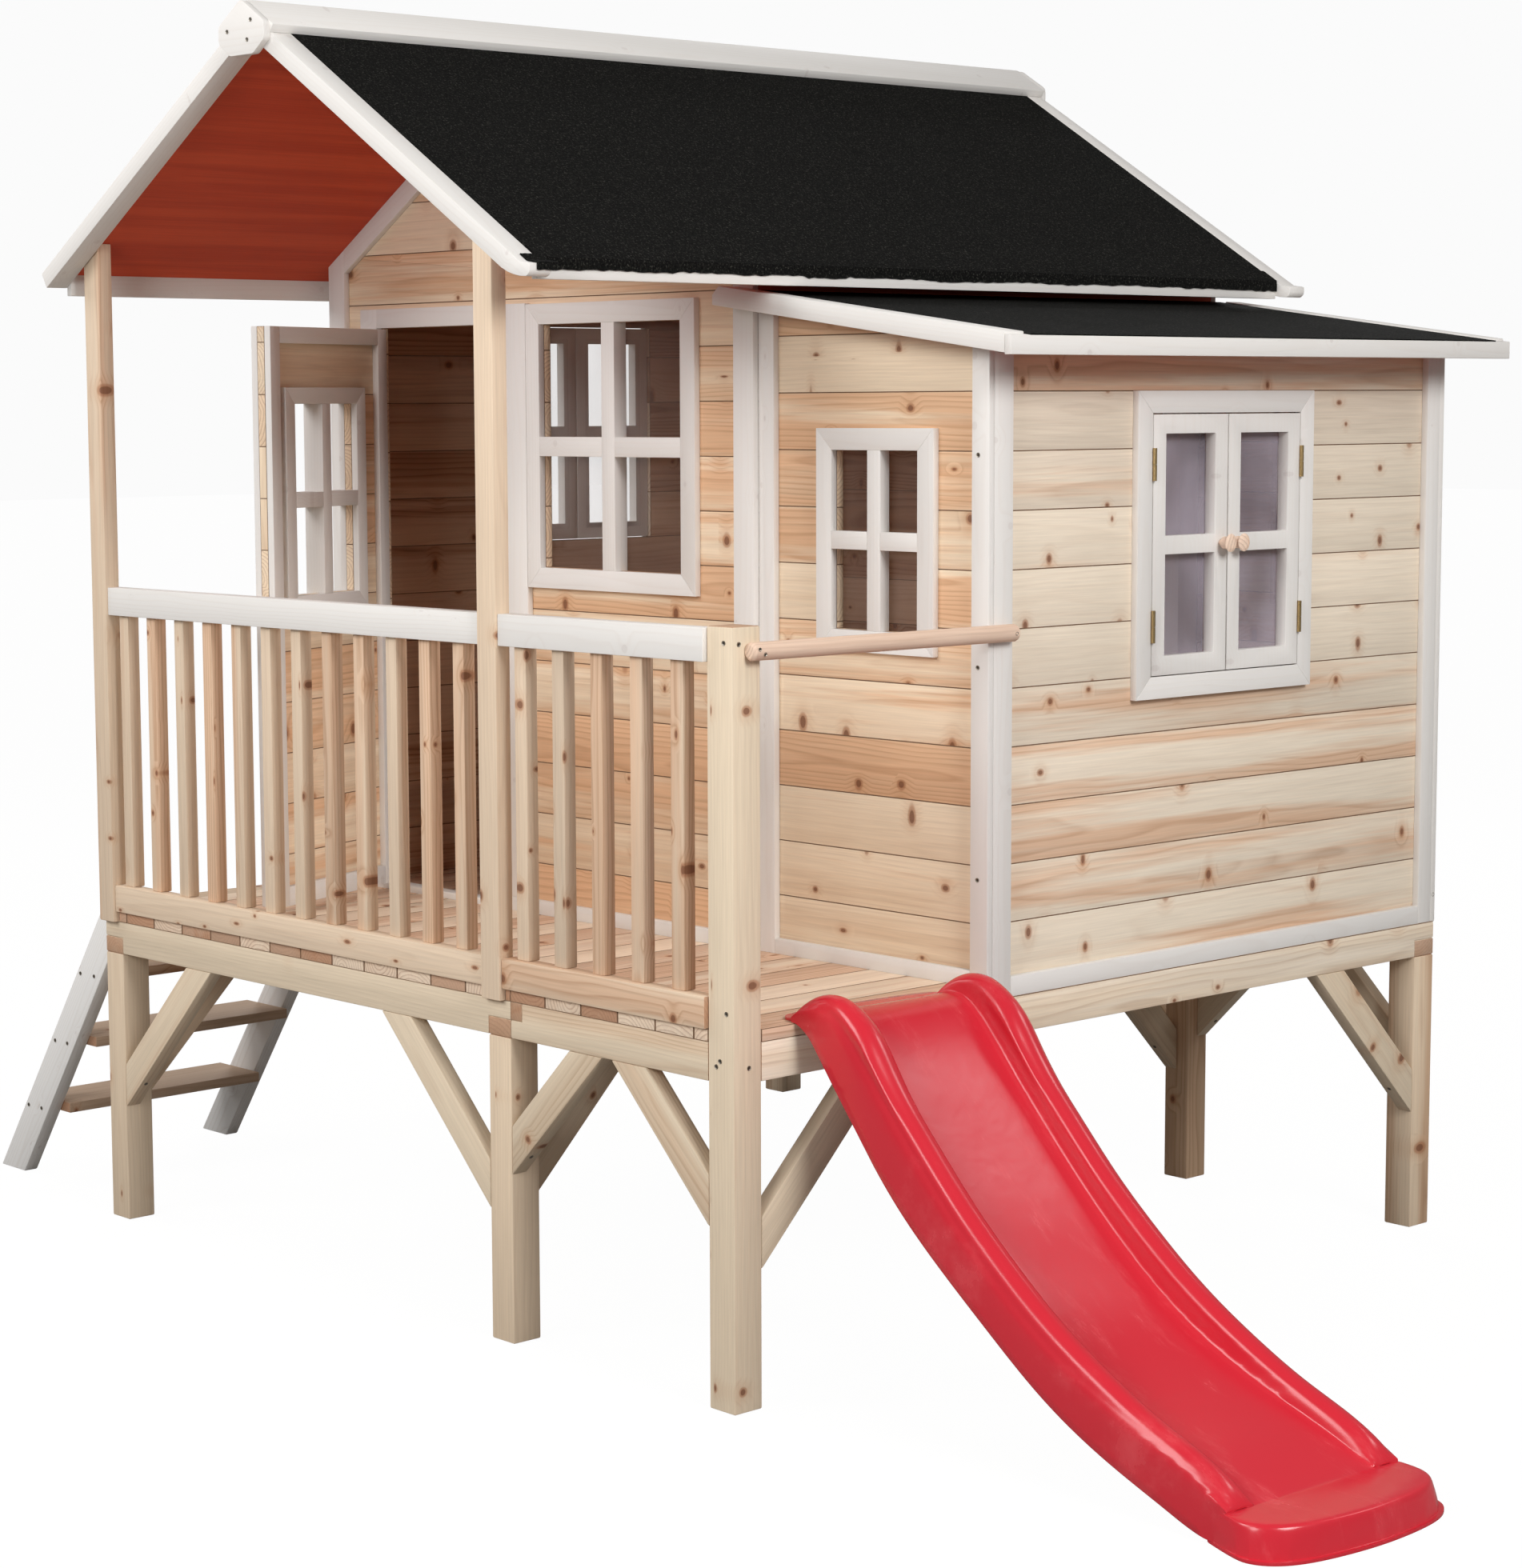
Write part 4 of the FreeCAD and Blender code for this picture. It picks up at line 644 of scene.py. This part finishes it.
def coated(node, material):
    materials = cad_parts[node].data.materials
    materials.clear()
    materials.append(material)


coated("window_panes", clear_sheet("window_sheet", (0.36, 0.25, 0.21, 1.0), 0.07, 0.12))
casement_sheets = {"annex": clear_sheet("casement_sheet", (0.62, 0.55, 0.64, 1.0), 0.15, 0.36),
                   "side": clear_sheet("side_sheet", (0.80, 0.78, 0.80, 1.0), 0.03, 0.07)}


# Casements: two glazed sashes in the annex side and two in the left wall,
# each with a turned knob and a pair of brass butt hinges.
brass = Finish("hinge_brass")
tarnish = brass.noise(brass.place(), 90.0, 3.0)
brass.paint(brass.blend(tarnish, (0.62, 0.44, 0.20, 1.0), (0.34, 0.24, 0.12, 1.0)))
brass.shader.inputs["Metallic"].default_value = 1.0
brass.rough(brass.math("MULTIPLY_ADD", tarnish, 0.3, 0.2))


def turned(node, seed, body):
    # The knob's two end rims, on the x axis, are rounded as on a lathe.
    knob = planed(node, turned_beech, 0.0003, seed, body)
    reach = max(abs(v.co.x) for v in knob.data.vertices)
    chosen(knob)
    bpy.ops.object.mode_set(mode="EDIT")
    bpy.ops.mesh.select_mode(type="EDGE")
    bpy.ops.mesh.select_all(action="DESELECT")
    bpy.ops.object.mode_set(mode="OBJECT")
    for edge in knob.data.edges:
        edge.select = all(abs(knob.data.vertices[v].co.x) > reach - 0.00002 for v in edge.vertices)
    bpy.ops.object.mode_set(mode="EDIT")
    bpy.ops.mesh.bevel(offset=0.0055, segments=5, profile=0.5, affect="EDGES")
    bpy.ops.object.mode_set(mode="OBJECT")
    bpy.ops.object.shade_smooth_by_angle(angle=smooth_angle)


for number, wall in enumerate(("annex", "side")):
    for hand in ("left", "right"):
        unit = wall + "_" + hand
        body = unit + "_casement"
        planed(unit + "_sash", white_stain, 0.0008, 91 + number * 2, body)
        turned(unit + "_knob", 95 + number * 2, body)
        coated(unit + "_pane", casement_sheets[wall])
        coated(unit + "_hinges", brass.material)
coated("casement_hinge_pins", brass.material)


# Door: boards between white frames on both faces, an open window with a cross
# of bars, hung on two butt hinges and standing open.
planed("door_casing", white_stain, 0.001, 101)
planed("door_boards", porch_wall_fir, 0.0009, 102, "door", joint)
planed("door_frame", white_stain, 0.001, 103, "door")
planed("door_window_casing", white_stain, 0.0008, 104, "door")
planed("door_window_bars", white_stain, 0.0008, 105, "door")
coated("door_hinge_pins", brass.material)
coated("door_hinge_leaves", brass.material)


# Roof: panels stained red-brown underneath, black gritted felt, white eave
# and barge timbers, and a ridge cap closed by a plate at each end.
red_brown = softwood("red_brown_stain", (0.66, 0.085, 0.030, 1.0), (0.56, 0.062, 0.022, 1.0),
                     (0.50, 0.058, 0.024, 1.0), 0.3, 0.08, clear=0.95, ends=0.0)
planed("roof_panels", red_brown, 0.001, 111)
planed("upper_side_board", red_brown, 0.002, 112)
planed("eave_fascias", white_stain, 0.001, 113)
planed("barge_timbers", white_stain, 0.0015, 114)
planed("ridge_cap", white_stain, 0.0015, 115)
end_plates = planed("ridge_plates", white_stain, 0.0015, 116)
plate_y = max(v.co.y for v in end_plates.data.vertices)
head_room = 0.0014
for v in end_plates.data.vertices:
    v.co.y *= (plate_y - head_room) / plate_y
plate_spots = [(-0.5481, 2.1502), (-0.4790, 2.1650), (-0.4900, 2.1330)]
for side in (-1.0, 1.0):
    name = "front_plate_screws" if side < 0 else "rear_plate_screws"
    y = side * (plate_y - head_room)
    screws(name, (0.0, side, 0.0), [(x, y, z) for x, z in plate_spots])
felt = Finish("roof_felt")
place = felt.place()
speck = felt.noise(place, 260.0, 3.0, 0.75)
felt.paint(felt.ramp(speck, ((0.36, (0.003, 0.003, 0.003, 1.0)), (0.58, (0.010, 0.010, 0.009, 1.0)),
                             (0.68, (0.060, 0.058, 0.050, 1.0)))))
felt.rough(felt.math("MULTIPLY_ADD", felt.noise(place, 9.0, 3.0), 0.1, 0.88))
felt.shader.inputs["Specular IOR Level"].default_value = 0.06
felt.bump(speck, 0.6, 0.0015)
coated("roof_felt", felt.material)

left, right = (corner[0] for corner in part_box("ridge_cap"))
eave = [v.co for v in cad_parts["roof_felt"].data.vertices if v.co.x < 0.5]
edge_x = max(co.x for co in eave)
edge_z = max(co.z for co in eave if co.x > edge_x - 0.0005)
front_y = min(co.y for co in eave)
back_y = max(co.y for co in eave)
fall = (max(co.z for co in eave) - edge_z) / (edge_x - (left + right) / 2)


def felt_flap(name, profile, y0, y1, rows, seed, ragged):
    # The sheet follows a profile of x, z and the way that it bulges outwards,
    # from y0 to y1, and its last edge is torn by up to the ragged length.
    bpy.ops.object.select_all(action="DESELECT")
    bpy.ops.mesh.primitive_grid_add(x_subdivisions=len(profile) - 1, y_subdivisions=rows, size=1.0)
    flap = bpy.context.active_object
    flap.name = name
    wave = np.random.default_rng(seed).uniform(-1.0, 1.0, (rows + 2, 3))
    for v in flap.data.vertices:
        c = round((v.co.x + 0.5) * (len(profile) - 1))
        r = round((v.co.y + 0.5) * rows)
        x, z, out_x, out_z = profile[c]
        torn = ragged * (wave[r, 0] * 0.4 + wave[r // 8, 1] * 0.6) if c == len(profile) - 1 else 0.0
        bulge = 0.0005 + abs(wave[r, 2]) * 0.0006
        v.co = (x + out_x * bulge, y0 + (y1 - y0) * r / rows, z + out_z * bulge + torn)
    thick = flap.modifiers.new("felt_thickness", "SOLIDIFY")
    thick.thickness = 0.0022
    thick.offset = 1.0
    bpy.ops.object.modifier_apply(modifier=thick.name)
    flap.data.materials.append(felt.material)
    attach(flap, BODY)


lap_profile = [(edge_x - back, edge_z + back * fall, 0.0, 1.0) for back in (0.03, 0.01)]
lap_profile += [(edge_x, edge_z, 0.7, 0.7)]
lap_profile += [(edge_x, edge_z - drop, 1.0, 0.0) for drop in (0.008, 0.017)]
felt_flap("felt_lap", lap_profile, front_y, back_y, 150, 121, 0.003)
tip_profile = [(0.1920, 1.7522, 0.0, 1.0), (0.2088, 1.7420, 0.0, 1.0), (0.2250, 1.7396, 0.0, 1.0),
               (0.2323, 1.7383, 0.7, 0.7), (0.2326, 1.7340, 1.0, 0.0), (0.2326, 1.7290, 1.0, 0.0)]
felt_flap("felt_tip", tip_profile, front_y - 0.030, front_y + 0.012, 8, 122, 0.002)


# Slide: one moulding of red polyethylene, hooked over the deck's edge. It is
# glossy with a faint ripple, and duller and paler where it has been rubbed.
red = Finish("red_plastic")
place = red.place()
rubbed = red.range(red.noise(red.stretch(place, (1.0, 3.0, 1.0)), 5.0, 6.0, 0.7), 0.52, 0.74)
faded = red.math("MULTIPLY", rubbed, 0.55)
red.paint(red.blend(faded, (0.62, 0.020, 0.036, 1.0), (0.74, 0.085, 0.10, 1.0)))
gloss = red.math("MULTIPLY_ADD", red.noise(place, 14.0, 3.0), 0.10, 0.17)
red.rough(red.math("MULTIPLY_ADD", rubbed, 0.10, gloss))
red.bump(red.noise(place, 38.0, 2.0), 0.10, 0.002)
verts, faces = closed_solids("slide")
mesh = bpy.data.meshes.new("slide_moulding")
mesh.from_pydata(verts, [], faces)
lip_x, lip_top = 1.502, 0.05
least_step, most_step = 0.0002, 0.0018
for v in mesh.vertices:
    if v.co.x > lip_x and least_step < v.co.z - lip_top < most_step:
        v.co.z = lip_top
slide = placed("slide_moulding", mesh)
chosen(slide)
bpy.ops.object.mode_set(mode="EDIT")
bpy.ops.mesh.select_all(action="SELECT")
bpy.ops.mesh.dissolve_degenerate(threshold=0.0003)
bpy.ops.mesh.select_all(action="SELECT")
bpy.ops.mesh.tris_convert_to_quads(face_threshold=math.radians(12.0),
                                   shape_threshold=math.radians(60.0))
bpy.ops.mesh.select_all(action="DESELECT")
bpy.ops.mesh.select_mode(type="EDGE")
bpy.ops.mesh.edges_select_sharp(sharpness=math.radians(48.0))
bpy.ops.transform.edge_crease(value=0.75)
bpy.ops.object.mode_set(mode="OBJECT")
round_off = slide.modifiers.new("smooth_moulding", "SUBSURF")
round_off.levels = 2
round_off.render_levels = 2
bpy.ops.object.modifier_apply(modifier=round_off.name)
bpy.ops.object.shade_smooth_by_angle(angle=math.radians(50.0))
slide.data.materials.append(red.material)
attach(slide, BODY)
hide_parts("slide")
